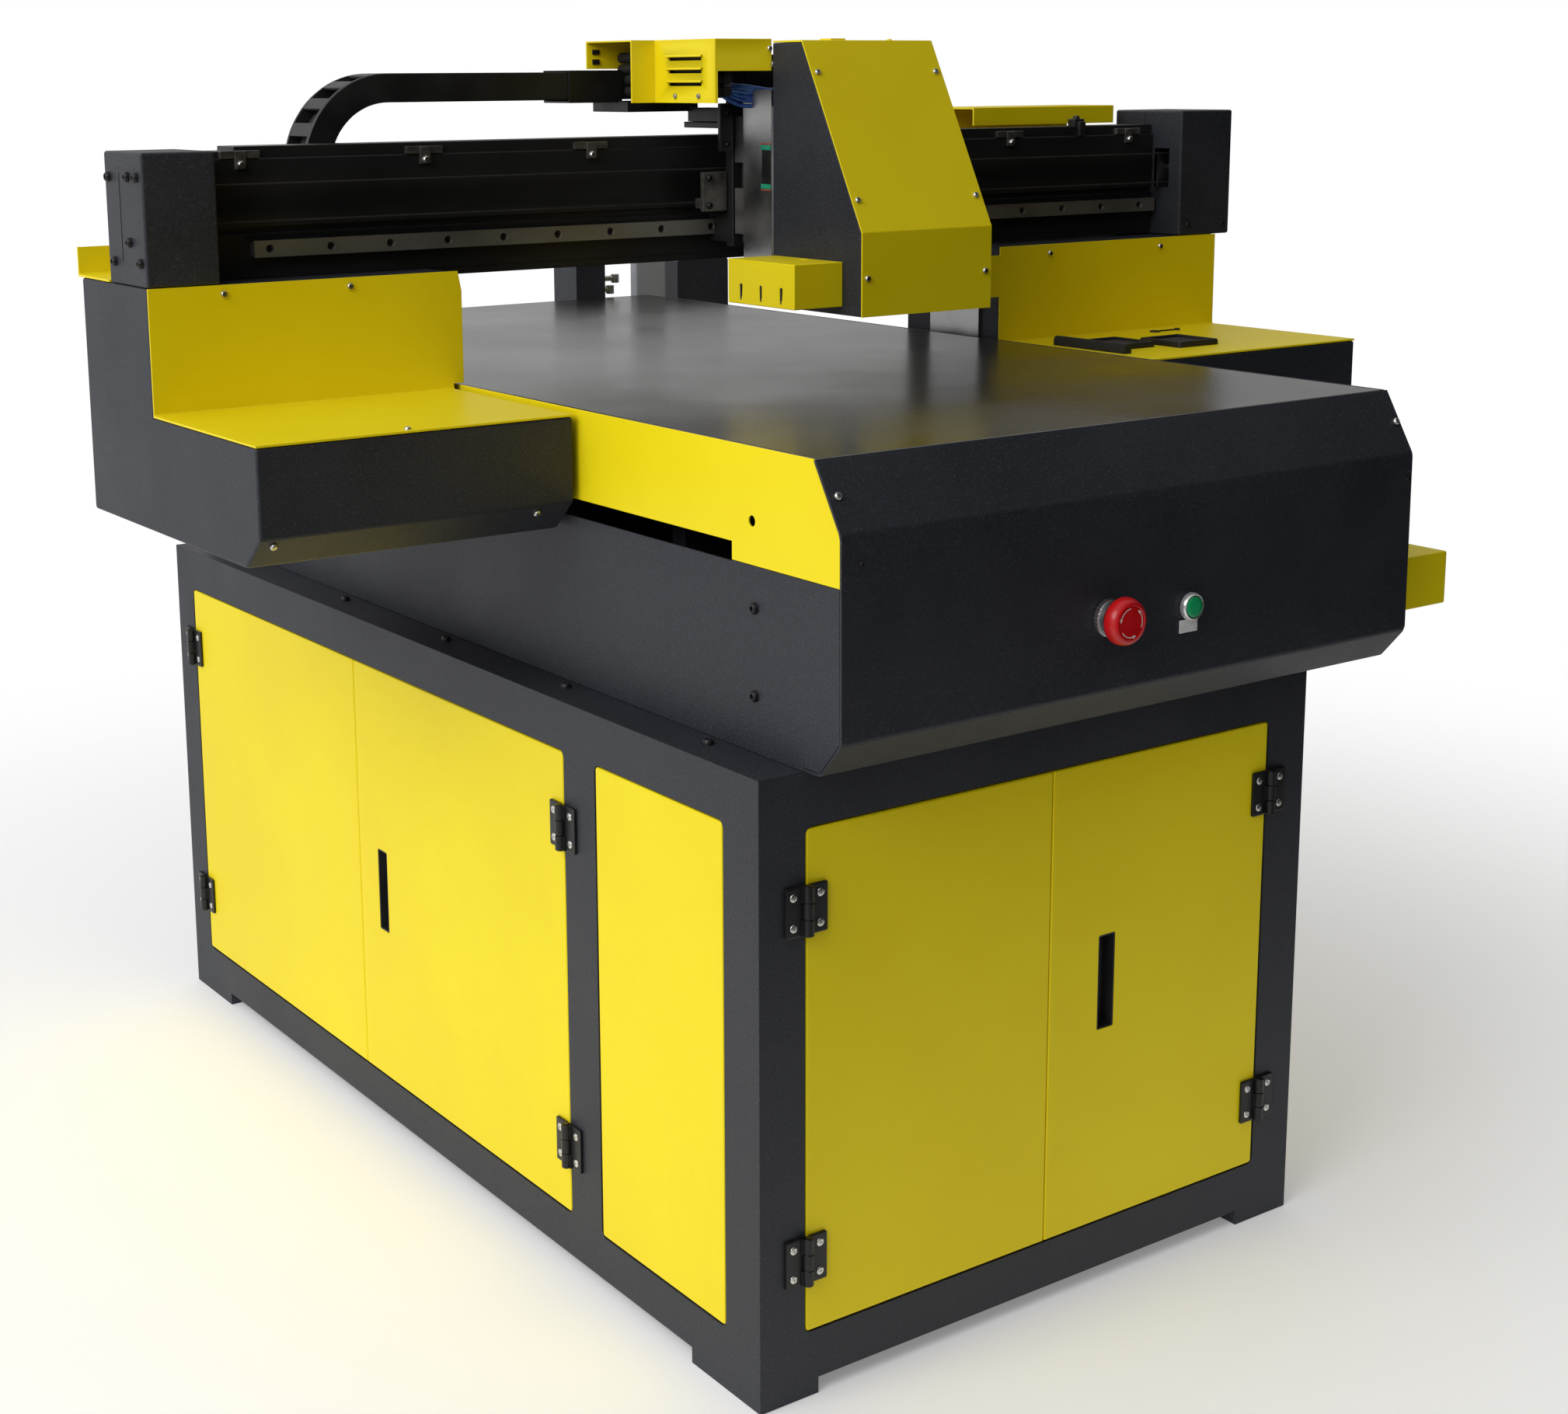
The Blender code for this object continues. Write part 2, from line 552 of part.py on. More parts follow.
def x_drive():
    """Rail, toothed belt, pulleys and motor of the carriage axis."""
    rail = prism(
        "x_rail",
        [
            (-22, 903), (-22, 918), (-19, 918), (-17, 916),
            (-12.3, 916), (-12.3, 905), (-17, 905), (-19, 903),
        ],
        0,
        (-546, 574),
        STEEL,
    )
    holes = []
    for index in range(19):
        holes.append(rod("rail_hole_cut", (-531 + 60 * index, -22, 910.5), 3.5, 5, 1, STEEL, 8))
    cut(rail, *holes)
    left, right = -622.0, 618.0
    outer = arc((right, PULLEY_Z), PULLEY_R + 2, -90, 90, 12)
    outer += arc((left, PULLEY_Z), PULLEY_R + 2, 90, 270, 12)
    inner_r = PULLEY_R + 0.4
    inner = arc((right, PULLEY_Z), inner_r, -90, 90, 12) + arc((left, PULLEY_Z), inner_r, 90, 270, 12)
    belt = prism("x_belt", outer, 1, (-31, -21), RUBBER, smooth=True)
    cut(belt, prism("belt_inside_cut", inner, 1, (-40, -10)))
    pulley("x_idler_pulley", left)
    pulley("x_drive_pulley", right)
    motor = box("x_motor", (590, 646), (-10, 26), (PULLEY_Z - 28, PULLEY_Z + 28), BLACK)
    shaft = rod("motor_shaft_join", (right, -25, PULLEY_Z), 3.5, 34, 1, STEEL, 16)
    return join(motor, shaft)


def pulley(name, x):
    wheel = rod(name, (x, -26, PULLEY_Z), PULLEY_R, 9, 1, ALUMINIUM, 32)
    flange = rod("flange_join", (x, -33.5, PULLEY_Z), PULLEY_R + 3, 2.5, 1)
    hub = rod("hub_join", (x, -31, PULLEY_Z), 8, 5, 1)
    join(wheel, flange, hub)
    return cut(wheel, rod("pulley_bore_cut", (x, -26, PULLEY_Z), 4, 60, 1, STEEL, 16))


# ---------------------------------------------------------------- cable chain


def chain_tray():
    """Yellow tray behind the beam for the lower run, with the raised cover at its right end."""
    y = TRAY_Y
    floor = TOP_LEFT + GAP
    profile = [(y[0], floor), (y[1], floor), (y[1], 911), (y[1] - 2, 911), (y[1] - 2, floor + 2)]
    profile += [(y[0] + 2, floor + 2), (y[0] + 2, 911), (y[0], 911)]
    tray = prism("chain_tray", profile, 0, (HOUSING_LEFT[0], 578), YELLOW)
    end = box("tray_end_cut", (HOUSING_LEFT[0] - 5, -560), (y[0] - 1, 33), (floor - 1, 920))
    rear = box("rear_cover_join", (342, 556), (y[1] - 2, y[1]), (905, 1023))
    top = box("rear_cover_top_join", (342, 556), (y[0] + 2, y[1]), (1021, 1023))
    front = box("rear_cover_front_join", (342, 556), (y[0] + 2, y[0] + 4), (1003, 1023))
    cut(tray, end)
    return join(tray, rear, top, front)


def chain():
    """Cable chain: fixed lower run, travelling bend with its runs, and the last links on the carriage."""
    x, z = CHAIN_CENTRE
    r_in, r_out = CHAIN_RADII
    path = arc(CHAIN_CENTRE, r_out, 90, 270, 20)
    inner = arc(CHAIN_CENTRE, r_in, 270, 90, 20)
    upper, lower = x + 418, x + 401
    outline = [(upper, z + r_out)] + path + [(lower, z - r_out), (lower, z - r_in)] + inner
    outline += [(upper, z + r_in)]
    prism("chain_bend", outline, 1, CHAIN_Y, BLACK, (x, sum(CHAIN_Y) / 2, z))
    y = (CHAIN_Y[0] - 0.6, CHAIN_Y[1] + 0.6)
    low = TOP_LEFT + 2 + 2 * GAP
    guide = box("chain_lower", (-190, 260), (y[0] - 1.2, y[1] + 1.2), (low, 908), BLACK)
    path_cut = box("chain_path_cut", (-200, 240), y, (low - 5, 920))
    cut(guide, path_cut)


# ---------------------------------------------------------------- carriage and head


def carriage():
    """Aluminium plate with bearing blocks on the rail, lift rails and the bracket over the beam."""
    plate = box("carriage_plate", (-48, 100), (-56, -44), (892, 1080), BLACK_METAL)
    pieces = []
    for x in (-48, 40):
        pieces.append(box("rail_block_join", (x, x + 60), (-45, -22.6), (896, 925)))
        pieces.append(box("block_lip_join", (x, x + 60), (-24, -14), (896, 902.4)))
        pieces.append(box("block_top_join", (x, x + 60), (-24, -14), (918.6, 925)))
    for x in (-36, 76):
        pieces.append(box("lift_rail_join", (x, x + 12), (-66, -55), (896, 1076)))
    pieces.append(box("over_beam_join", (-48, -20), (-45, 30), (1008, 1014)))
    join(plate, *pieces)
    return plate


def z_motor():
    """Lift motor with a hollow nut, bolted to the top of the carriage plate."""
    motor = box("z_motor", (5, 47), (-112, -56 - GAP), (1034, 1076), BLACK)
    return cut(motor, rod("motor_bore_cut", (26, -90, 1055), 5.2, 80, 2, STEEL, 16))


def top_duct():
    """Sheet cover from the head to the cable chain: louvred left wall, open underneath."""
    top = 1094.0
    plan = [(-52, -127), (-52, 60), (-145, 60), (-145, -24), (-118, -24), (-118, -127)]
    duct = prism("top_duct", plan, 2, (1034, top), YELLOW)
    hollow = [(-45, -125), (-45, 58), (-150, 58), (-150, -22), (-116, -22), (-116, -125)]
    cut(duct, prism("duct_inside_cut", hollow, 2, (1000, top - 1.5)))
    cut(duct, box("duct_back_cut", (-160, -40), (29, 80), (1020, 1067)))
    cut(duct, box("duct_front_cut", (-115, -40), (-135, -120), (1020, 1064)))
    for z in (1050, 1062, 1074):
        cut(duct, box("louvre_cut", (-125, -110), (-104, -48), (z, z + 5)))
    return duct


def chain_end():
    """Bracket and last links of the chain, carried over the beam by the carriage."""
    y = (CHAIN_Y[0] - 0.4, CHAIN_Y[1] + 0.4)
    top = CHAIN_CENTRE[1] + CHAIN_RADII[1] + 0.5
    low = CHAIN_CENTRE[1] + CHAIN_RADII[0] - 0.6
    links = box("chain_upper", (-180, -118), (y[0] - 1.2, y[1] + 1.2), (low - 2.4, top + 1.2), BLACK)
    inside = box("links_inside_cut", (-190, -100), y, (low, top))
    plate = box("chain_bracket_join", (-122, -37), (20, y[1] + 1.2), (1024.5, low - 1.2))
    foot = box("bracket_foot_join", (-47, -22), (-40, 24), (1014.3, 1028))
    cut(links, inside)
    return join(links, plate, foot)


HEAD_SIDE = [(-130, 1090), (-176, 1090), (-268, 916), (-268, 838), (-130, 838)]


def head():
    """Everything that the lift moves: frame, dark side plates, yellow cover, print heads and lamp."""
    frame = box("head_frame", (-50, 102), (-128, -120), (856, 1030), ALUMINIUM)
    pieces = []
    for x in (-36, 76):
        for z in (905, 975):
            pieces.append(box("lift_block_join", (x - 11, x + 23), (-122, -67), (z, z + 45)))
            pieces.append(box("block_cheek_join", (x - 11, x - 0.6), (-75, -58), (z, z + 45)))
            pieces.append(box("block_cheek_join", (x + 12.6, x + 23), (-75, -58), (z, z + 45)))
    pieces.append(box("side_cheek_join", (-51.5, -46.5), (-126, -79), (868, 1046)))
    pieces.append(box("nut_bracket_join", (8, 44), (-122, -82), (880, 890)))
    pieces.append(rod("lift_screw_join", (26, -90, 985), 4, 200, 2, STEEL, 16))
    join(frame, *pieces)
    shell = prism("head_shell", HEAD_SIDE, 0, HEAD_X, DARK)
    inner = [(-100, 1078), (-172, 1078), (-262, 912), (-262, 830), (-100, 830)]
    room = prism("head_room_cut", inner, 0, (HEAD_X[0] + 3, HEAD_X[1] - 3))
    cut(shell, room)
    join(shell, box("head_base_join", (HEAD_X[0] + 1, HEAD_X[1] - 1), (-263, -131), (842, 850)))
    cut(shell, box("head_port_cut", (-20, 72), (-240, -160), (830, 860)))
    cover()
    prints = box("print_heads", (-14, 66), (-234, -166), (852, 900), BLACK)
    heads = [box("head_flange_join", (-30, 82), (-246, -154), (850.3, 856))]
    for x in (-12, 15, 42):
        heads.append(box("nozzle_join", (x, x + 22), (-230, -170), (833, 853)))
    join(prints, *heads)
    uv_lamp()


def cover():
    """Yellow folded sheet over the top, the slant and the front of the head."""
    outer = [(-131, 1090.3), (-131, 1092), (-177, 1092), (-269.8, 916.4), (-269.8, 838), (-268.3, 838)]
    inner = [(-268.3, 916.1), (-176.2, 1090.3)]
    prism("head_cover", outer + inner, 0, HEAD_X, YELLOW)


def uv_lamp():
    """Curing lamp in its own sheet box on the left of the head."""
    lamp = box("uv_lamp", (-110, HEAD_X[0] - GAP), (-241, -135), (846, 888), YELLOW)
    cut(lamp, box("lamp_window_cut", (-104, -60), (-232, -144), (840, 866)))
    for y in (-222, -190, -158):
        cut(lamp, box("lamp_vent_cut", (-115, -100), (y, y + 4), (853, 865)))
    join(lamp, box("lamp_glass_join", (-105, -59), (-233, -143), (850, 852)))
    return lamp


def ink_tubes():
    """Bundle of ink tubes from the chain end to the head, held at both ends."""
    route = [(-70, 45, 1074), (-70, 10, 1074), (-72, -40, 1068), (-76, -80, 1060), (-88, -100, 1050)]
    curve = bpy.data.curves.new("ink_tubes", "CURVE")
    curve.dimensions = "3D"
    curve.bevel_depth = 6 * MM
    curve.bevel_resolution = 2
    curve.use_fill_caps = True
    line = curve.splines.new("POLY")
    line.points.add(len(route) - 1)
    for point, place in zip(line.points, route):
        point.co = (*[value * MM for value in place], 1.0)
    curve.materials.append(BLUE)
    made = bpy.data.objects.new("ink_tubes", curve)
    bpy.context.scene.collection.objects.link(made)
    return made


cabinet_frame()
doors()
fixed_panels()
control_box()
bed_frame()
bed_table()
front_cover()
side_sheets()
rear_plate()
ink_tanks()
y_drive()
cable_duct()
controls()
gantry()
chain_tray()
chain()
carriage()
z_motor()
top_duct()
chain_end()
head()
ink_tubes()
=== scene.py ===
"""Flatbed UV printer: finishes, sheet edges and small fittings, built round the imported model.

Everything is in metres. +Z is up, the operator stands at -Y, and the cabinet stands on the floor at z = 0.
"""

import math

import bmesh
import bpy
from mathutils import Matrix, Vector


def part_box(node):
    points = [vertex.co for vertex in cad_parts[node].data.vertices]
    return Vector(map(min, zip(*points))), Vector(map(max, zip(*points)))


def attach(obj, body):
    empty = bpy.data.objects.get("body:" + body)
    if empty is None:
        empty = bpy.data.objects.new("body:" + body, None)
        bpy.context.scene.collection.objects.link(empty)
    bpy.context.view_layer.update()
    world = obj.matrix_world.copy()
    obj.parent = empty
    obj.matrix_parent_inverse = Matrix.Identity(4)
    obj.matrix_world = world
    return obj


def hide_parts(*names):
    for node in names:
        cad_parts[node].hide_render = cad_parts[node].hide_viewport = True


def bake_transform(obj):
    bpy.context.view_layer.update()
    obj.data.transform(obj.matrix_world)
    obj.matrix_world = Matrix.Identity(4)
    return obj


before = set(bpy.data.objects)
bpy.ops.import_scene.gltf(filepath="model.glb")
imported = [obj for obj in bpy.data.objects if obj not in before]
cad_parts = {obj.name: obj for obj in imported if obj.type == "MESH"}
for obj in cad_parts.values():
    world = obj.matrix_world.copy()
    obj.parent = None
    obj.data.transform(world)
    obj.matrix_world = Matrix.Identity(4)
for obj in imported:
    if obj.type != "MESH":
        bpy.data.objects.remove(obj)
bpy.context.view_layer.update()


# ------------------------------------------------------------------ the room
# A plain studio: a pale floor that fades out round the machine, a soft white sky that is brightest on the
# machine's left and dimmest towards the operator, one wide soft lamp, and the camera at eye level.

turn, dip, tilt = 0.6068, 0.1953, -0.0071
ahead = Vector((math.cos(dip) * math.sin(turn), math.cos(dip) * math.cos(turn), -math.sin(dip)))
right = ahead.cross(Vector((0, 0, 1))).normalized()
above = right.cross(ahead)
level = Matrix((right, above, -ahead)).transposed() @ Matrix.Rotation(tilt, 3, "Z")
lens = bpy.data.cameras.new("camera")
lens.sensor_width = 36.0
lens.lens = 53.76
lens.shift_x = 0.0448
lens.shift_y = -0.1069
lens.clip_end = 60
camera = bpy.data.objects.new("camera", lens)
camera.matrix_world = Matrix.Translation((-1.4069, -1.9760, 1.0591)) @ level.to_4x4()
bpy.context.scene.collection.objects.link(camera)
bpy.context.scene.camera = camera
bpy.context.scene.view_settings.view_transform = "Standard"


def shader_node(tree, kind, **values):
    """A shader node of one kind, with the sockets that are named set to their values."""
    made = tree.nodes.new(kind)
    for socket, value in values.items():
        made.inputs[socket.replace("_", " ")].default_value = value
    return made


def wire(tree, *runs):
    """Joins sockets; each run is a node, its output, the next node and its input."""
    for start, output, end, entry in runs:
        tree.links.new(start.outputs[output], end.inputs[entry])


sky = bpy.data.worlds.new("soft_sky")
bpy.context.scene.world = sky
sky.use_nodes = True
tree = sky.node_tree
tree.nodes.clear()
where = shader_node(tree, "ShaderNodeTexCoord")
lean = shader_node(tree, "ShaderNodeVectorMath")
lean.operation = "DOT_PRODUCT"
lean.inputs[1].default_value = (-0.50, 0.52, 0.36)
lift = shader_node(tree, "ShaderNodeMath")
lift.operation = "ADD"
lift.use_clamp = True
lift.inputs[1].default_value = 0.48
studio = shader_node(tree, "ShaderNodeBackground")
backdrop = shader_node(tree, "ShaderNodeBackground", Color=(1, 1, 1, 1))
seen = shader_node(tree, "ShaderNodeLightPath")
either = shader_node(tree, "ShaderNodeMixShader")
out = shader_node(tree, "ShaderNodeOutputWorld")
wire(
    tree,
    (where, "Generated", lean, 0),
    (lean, "Value", lift, 0),
    (lift, 0, studio, "Strength"),
    (seen, "Is Camera Ray", either, 0),
    (studio, 0, either, 1),
    (backdrop, 0, either, 2),
    (either, 0, out, "Surface"),
)

glow = bpy.data.lights.new("wide_lamp", "AREA")
glow.shape = "RECTANGLE"
glow.size, glow.size_y = 2.6, 1.8
glow.energy = 52
lamp = bpy.data.objects.new("wide_lamp", glow)
lamp.location = (-3.0, -0.9, 2.5)
lamp.rotation_euler = (Vector((0, 0, 0.6)) - Vector(lamp.location)).to_track_quat("-Z", "Y").to_euler()
bpy.context.scene.collection.objects.link(lamp)

disc = bmesh.new()
bmesh.ops.create_circle(disc, cap_ends=True, segments=96, radius=3.4)
floor_mesh = bpy.data.meshes.new("floor")
disc.to_mesh(floor_mesh)
disc.free()
floor = bpy.data.objects.new("floor", floor_mesh)
floor.location = (0, 0, -0.0002)
bpy.context.scene.collection.objects.link(floor)
pale = bpy.data.materials.new("pale_floor")
pale.use_nodes = True
tree = pale.node_tree
shader = tree.nodes["Principled BSDF"]
shader.inputs["Base Color"].default_value = (0.93, 0.93, 0.93, 1)
shader.inputs["Roughness"].default_value = 0.7
shader.inputs["Specular IOR Level"].default_value = 0.2
shader.inputs["Emission Color"].default_value = (1, 1, 1, 1)
shader.inputs["Emission Strength"].default_value = 0.20
where = shader_node(tree, "ShaderNodeTexCoord")
reach = shader_node(tree, "ShaderNodeVectorMath")
reach.operation = "LENGTH"
fade = shader_node(tree, "ShaderNodeMapRange", From_Min=0.7, From_Max=2.1)
fade.interpolation_type = "SMOOTHSTEP"
clear = shader_node(tree, "ShaderNodeBsdfTransparent")
either = shader_node(tree, "ShaderNodeMixShader")
wire(
    tree,
    (where, "Object", reach, 0),
    (reach, "Value", fade, "Value"),
    (fade, "Result", either, 0),
    (shader, 0, either, 1),
    (clear, 0, either, 2),
    (either, 0, tree.nodes["Material Output"], "Surface"),
)
floor_mesh.materials.append(pale)


# ------------------------------------------------------------------ the cabinet frame
# The cabinet is a welded frame of folded steel sheet with a top sheet that rolls over its long edges. It is
# sprayed and baked in a dark blue-grey powder coat, whose fine leather texture catches the light.


def finish(
    name, tones, patch, rough, metal=0.0, grain=700, depth=0.0002, stretch=(1, 1, 1), speck=None, shine=0.5
):
    """A surface: two tones in soft patches, uneven gloss, and a fine relief; specks lighten the grain."""
    made = bpy.data.materials.new(name)
    made.use_nodes = True
    tree = made.node_tree
    shader = tree.nodes["Principled BSDF"]
    shader.inputs["Metallic"].default_value = metal
    shader.inputs["Specular IOR Level"].default_value = shine
    where = shader_node(tree, "ShaderNodeTexCoord")
    run = shader_node(tree, "ShaderNodeMapping", Scale=stretch)
    cloud = shader_node(tree, "ShaderNodeTexNoise", Scale=patch, Detail=5)
    relief = shader_node(tree, "ShaderNodeTexNoise", Scale=grain, Detail=2)
    spread = shader_node(tree, "ShaderNodeMapRange", From_Min=0.36, From_Max=0.64)
    mix = shader_node(tree, "ShaderNodeMix")
    mix.data_type = "RGBA"
    mix.inputs["A"].default_value = (*tones[0], 1)
    mix.inputs["B"].default_value = (*tones[1], 1)
    gloss = shader_node(tree, "ShaderNodeMapRange", From_Min=0.3, From_Max=0.7)
    gloss.inputs["To Min"].default_value = rough[0]
    gloss.inputs["To Max"].default_value = rough[1]
    bump = shader_node(tree, "ShaderNodeBump", Distance=depth, Strength=0.6)
    wire(
        tree,
        (where, "Object", cloud, "Vector"),
        (where, "Object", run, "Vector"),
        (run, "Vector", relief, "Vector"),
        (cloud, "Fac", spread, "Value"),
        (spread, "Result", mix, "Factor"),
        (cloud, "Fac", gloss, "Value"),
        (gloss, "Result", shader, "Roughness"),
        (relief, "Fac", bump, "Height"),
        (bump, "Normal", shader, "Normal"),
    )
    if speck:
        dots = shader_node(tree, "ShaderNodeMapRange", From_Min=0.56, From_Max=0.74)
        lighter = shader_node(tree, "ShaderNodeMix")
        lighter.data_type = "RGBA"
        lighter.inputs["B"].default_value = (*speck, 1)
        wire(tree, (relief, "Fac", dots, "Value"), (dots, "Result", lighter, "Factor"))
        wire(tree, (mix, "Result", lighter, "A"))
        mix = lighter
    wire(tree, (mix, "Result", shader, "Base Color"))
    return made


def softened(node, bend=0.002, edge=0.0004):
    """The frame's solid of this node, with its folds rounded to the bend radius and its cut edges broken."""
    mesh = bmesh.new()
    mesh.from_mesh(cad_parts[node].data)
    bmesh.ops.remove_doubles(mesh, verts=mesh.verts, dist=0.00002)
    bmesh.ops.dissolve_limit(mesh, angle_limit=math.radians(1), verts=mesh.verts, edges=mesh.edges)
    for width, segments, corner in ((bend, 3, 20), (edge, 1, 40)):
        lines = []
        for line in mesh.edges:
            if len(line.link_faces) != 2 or line.calc_face_angle(0) < math.radians(corner):
                continue
            narrow = []
            for side in line.link_faces:
                narrow.append(side.calc_area() / max(rim.calc_length() for rim in side.edges))
            if min(narrow) > 3 * width and line.calc_length() > 3 * width:
                lines.append(line)
        if lines:
            bmesh.ops.bevel(
                mesh,
                geom=lines,
                offset=width,
                segments=segments,
                profile=0.5,
                affect="EDGES",
                clamp_overlap=True,
            )
    return mesh


def piece(name, mesh, coat, body, slot, *nodes):
    """Turns a mesh into a piece that moves with a body, if one is given, and stands for the named nodes."""
    bmesh.ops.recalc_face_normals(mesh, faces=mesh.faces)
    data = bpy.data.meshes.new(name)
    mesh.to_mesh(data)
    mesh.free()
    data.materials.append(coat)
    data.shade_smooth()
    data.set_sharp_from_angle(angle=math.radians(42))
    made = bpy.data.objects.new(name, data)
    bpy.context.scene.collection.objects.link(made)
    made.modifiers.new("flat faces stay flat", "WEIGHTED_NORMAL").keep_sharp = True
    if body:
        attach(made, body)
    if nodes:
        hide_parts(*nodes)
    return made


dark_coat = finish(
    "dark_powder_coat",
    ((0.021, 0.023, 0.030), (0.027, 0.029, 0.037)),
    9,
    (0.44, 0.56),
    grain=620,
    depth=0.00035,
    speck=(0.060, 0.064, 0.078),
    shine=0.34,
)
mesh = softened("cabinet_frame", 0.004, 0.0006)
piece("cabinet_shell", mesh, dark_coat, "machine", "dark_coat", "cabinet_frame")


# ------------------------------------------------------------------ doors and fixed panels
# Each door is a pan of two-millimetre sheet with folded returns, in a smooth yellow powder coat with a faint
# orange peel. The two doors that open first have a finger slot. The black cup behind each slot is painted
# shade: a dark piece that stands in for the shaded inside of the cabinet.

yellow_coat = finish(
    "yellow_powder_coat",
    ((0.90, 0.71, 0.004), (0.95, 0.77, 0.008)),
    4,
    (0.38, 0.48),
    grain=420,
    depth=0.00012,
    shine=0.22,
)


def corner_loop(across, up, radii, inset=0.0, steps=5):
    """Points round a rectangle whose four corners have their own radii, drawn in by an inset."""
    points = []
    corners = ((1, 1, 0), (0, 1, 90), (0, 0, 180), (1, 0, 270))
    for (u, v, start), radius in zip(corners, radii):
        round_off = max(radius - inset, 0.0003)
        centre_u = across[u] + (-1 if u else 1) * (inset + round_off)
        centre_v = up[v] + (-1 if v else 1) * (inset + round_off)
        for step in range(steps + 1):
            angle = math.radians(start + 90 * step / steps)
            points.append((centre_u + round_off * math.cos(angle), centre_v + round_off * math.sin(angle)))
    return points


def ring_of(mesh, points, place, depth):
    return [mesh.verts.new(place(u, v, depth)) for u, v in points]


def bridge(mesh, first, second):
    count = len(first)
    for index in range(count):
        after = (index + 1) % count
        mesh.faces.new((first[index], first[after], second[after], second[index]))


def skin(mesh, rings, capped=True):
    """Faces from each ring to the next, and over both ends if capped."""
    for first, second in zip(rings, rings[1:]):
        bridge(mesh, first, second)
    if capped:
        mesh.faces.new(rings[0][::-1])
        mesh.faces.new(rings[-1])


def close(mesh, *rings):
    """Fills a flat region between an outer ring and any holes."""
    rim = []
    for ring in rings:
        for index, vert in enumerate(ring):
            after = ring[(index + 1) % len(ring)]
            rim.append(mesh.edges.get((vert, after)) or mesh.edges.new((vert, after)))
    bmesh.ops.triangle_fill(mesh, edges=rim, use_beauty=True)


def pan(across, up, radii, place, depth=0.019, slot=None):
    """A sheet pan: crowned front edge, folded sides, returns at the back, and a finger slot if it has one."""
    mesh = bmesh.new()
    soft = 0.0015
    rings = []
    for step in range(4):
        angle = math.radians(90 - 30 * step)
        points = corner_loop(across, up, radii, soft - soft * math.cos(angle))
        rings.append(ring_of(mesh, points, place, soft - soft * math.sin(angle)))
    for inset, back in ((0.0, depth), (0.018, depth), (0.018, 0.002)):
        rings.append(ring_of(mesh, corner_loop(across, up, radii, inset), place, back))
    skin(mesh, rings, capped=False)
    front, back = [rings[0]], [rings[-1]]
    if slot:
        hole = corner_loop(slot[0], slot[1], [0.002] * 4)
        near = ring_of(mesh, hole, place, 0.0)
        far = ring_of(mesh, hole, place, 0.002)
        bridge(mesh, near, far)
        front.append(near)
        back.append(far)
    close(mesh, *front)
    close(mesh, *back)
    return mesh


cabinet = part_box("cabinet_frame")
front_face, left_face, right_face = cabinet[0][1], cabinet[0][0], cabinet[1][0]


def on_front(u, v, depth):
    return Vector((u, front_face + depth, v))


def on_left(u, v, depth):
    return Vector((left_face + depth, u, v))


def on_right(u, v, depth):
    return Vector((right_face - depth, u, v))


big, small = 0.003, 0.0010
front_slot = ((-0.040, -0.020), (0.240, 0.327))
side_slot = ((0.047, 0.067), (0.215, 0.300))
for name, node, body, place, axis, radii, slot in (
    ("front_left_pan", "front_door_left", "front_left_door", on_front, 0, (small, big, big, small), None),
    (
        "front_right_pan", "front_door_right", "front_right_door", on_front, 0,
        (big, small, small, big), front_slot,
    ),
    ("side_front_pan", "side_door_front", "side_front_door", on_left, 1, (small, big, big, small), side_slot),
    ("side_rear_pan", "side_door_rear", "side_rear_door", on_left, 1, (big, small, small, big), None),
    ("narrow_pan", "narrow_panel", "machine", on_left, 1, (big,) * 4, None),
    ("right_side_pan", "right_panel", "machine", on_right, 1, (big,) * 4, None),
):
    low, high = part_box(node)
    mesh = pan((low[axis], high[axis]), (low[2], high[2]), radii, place, slot=slot)
    piece(name, mesh, yellow_coat, body, "yellow_coat", node)

moulded_black = finish(
    "moulded_black_plastic",
    ((0.010, 0.010, 0.011), (0.015, 0.015, 0.016)),
    30,
    (0.40, 0.52),
    grain=1500,
    depth=0.00008,
)
# Black cups behind the finger slots: painted shade, so the slots read as dark as the shaded inside of the
# cabinet.
for name, body, place, slot in (
    ("front_slot_shade_cup", "front_right_door", on_front, front_slot),
    ("side_slot_shade_cup", "side_front_door", on_left, side_slot),
):
    mesh = bmesh.new()
    rings = []
    inside = ((0.0006, 0.0002), (0.0016, 0.0004), (0.0022, 0.0120), (0.0040, 0.0140))
    outside = ((0.0020, 0.0155), (-0.0010, 0.0140), (-0.0010, 0.0024), (0.0006, 0.0022))
    for inset, depth in inside + outside:
        rings.append(ring_of(mesh, corner_loop(*slot, [0.002] * 4, inset), place, depth))
    skin(mesh, rings[:4], capped=False)
    skin(mesh, rings[4:] + rings[:1], capped=False)
    close(mesh, rings[3])
    close(mesh, rings[4])
    piece(name, mesh, moulded_black, body, "black_plastic")


# ------------------------------------------------------------------ butt hinges
# Every door hangs on two black butt hinges of pressed steel. Three knuckles turn on one pin, and each leaf is
# held by two zinc-plated countersunk screws with a cross recess.


def eased(mesh, low, high, ease=0.0006):
    """A block with broken edges, added to a mesh."""
    low, high = Vector(low), Vector(high)
    made = bmesh.ops.create_cube(mesh, size=1.0)["verts"]
    bmesh.ops.scale(mesh, verts=made, vec=high - low)
    bmesh.ops.translate(mesh, verts=made, vec=(low + high) / 2)
    lines = list({line for vert in made for line in vert.link_edges})
    bmesh.ops.bevel(mesh, geom=lines, offset=ease, segments=2, profile=0.5, affect="EDGES")


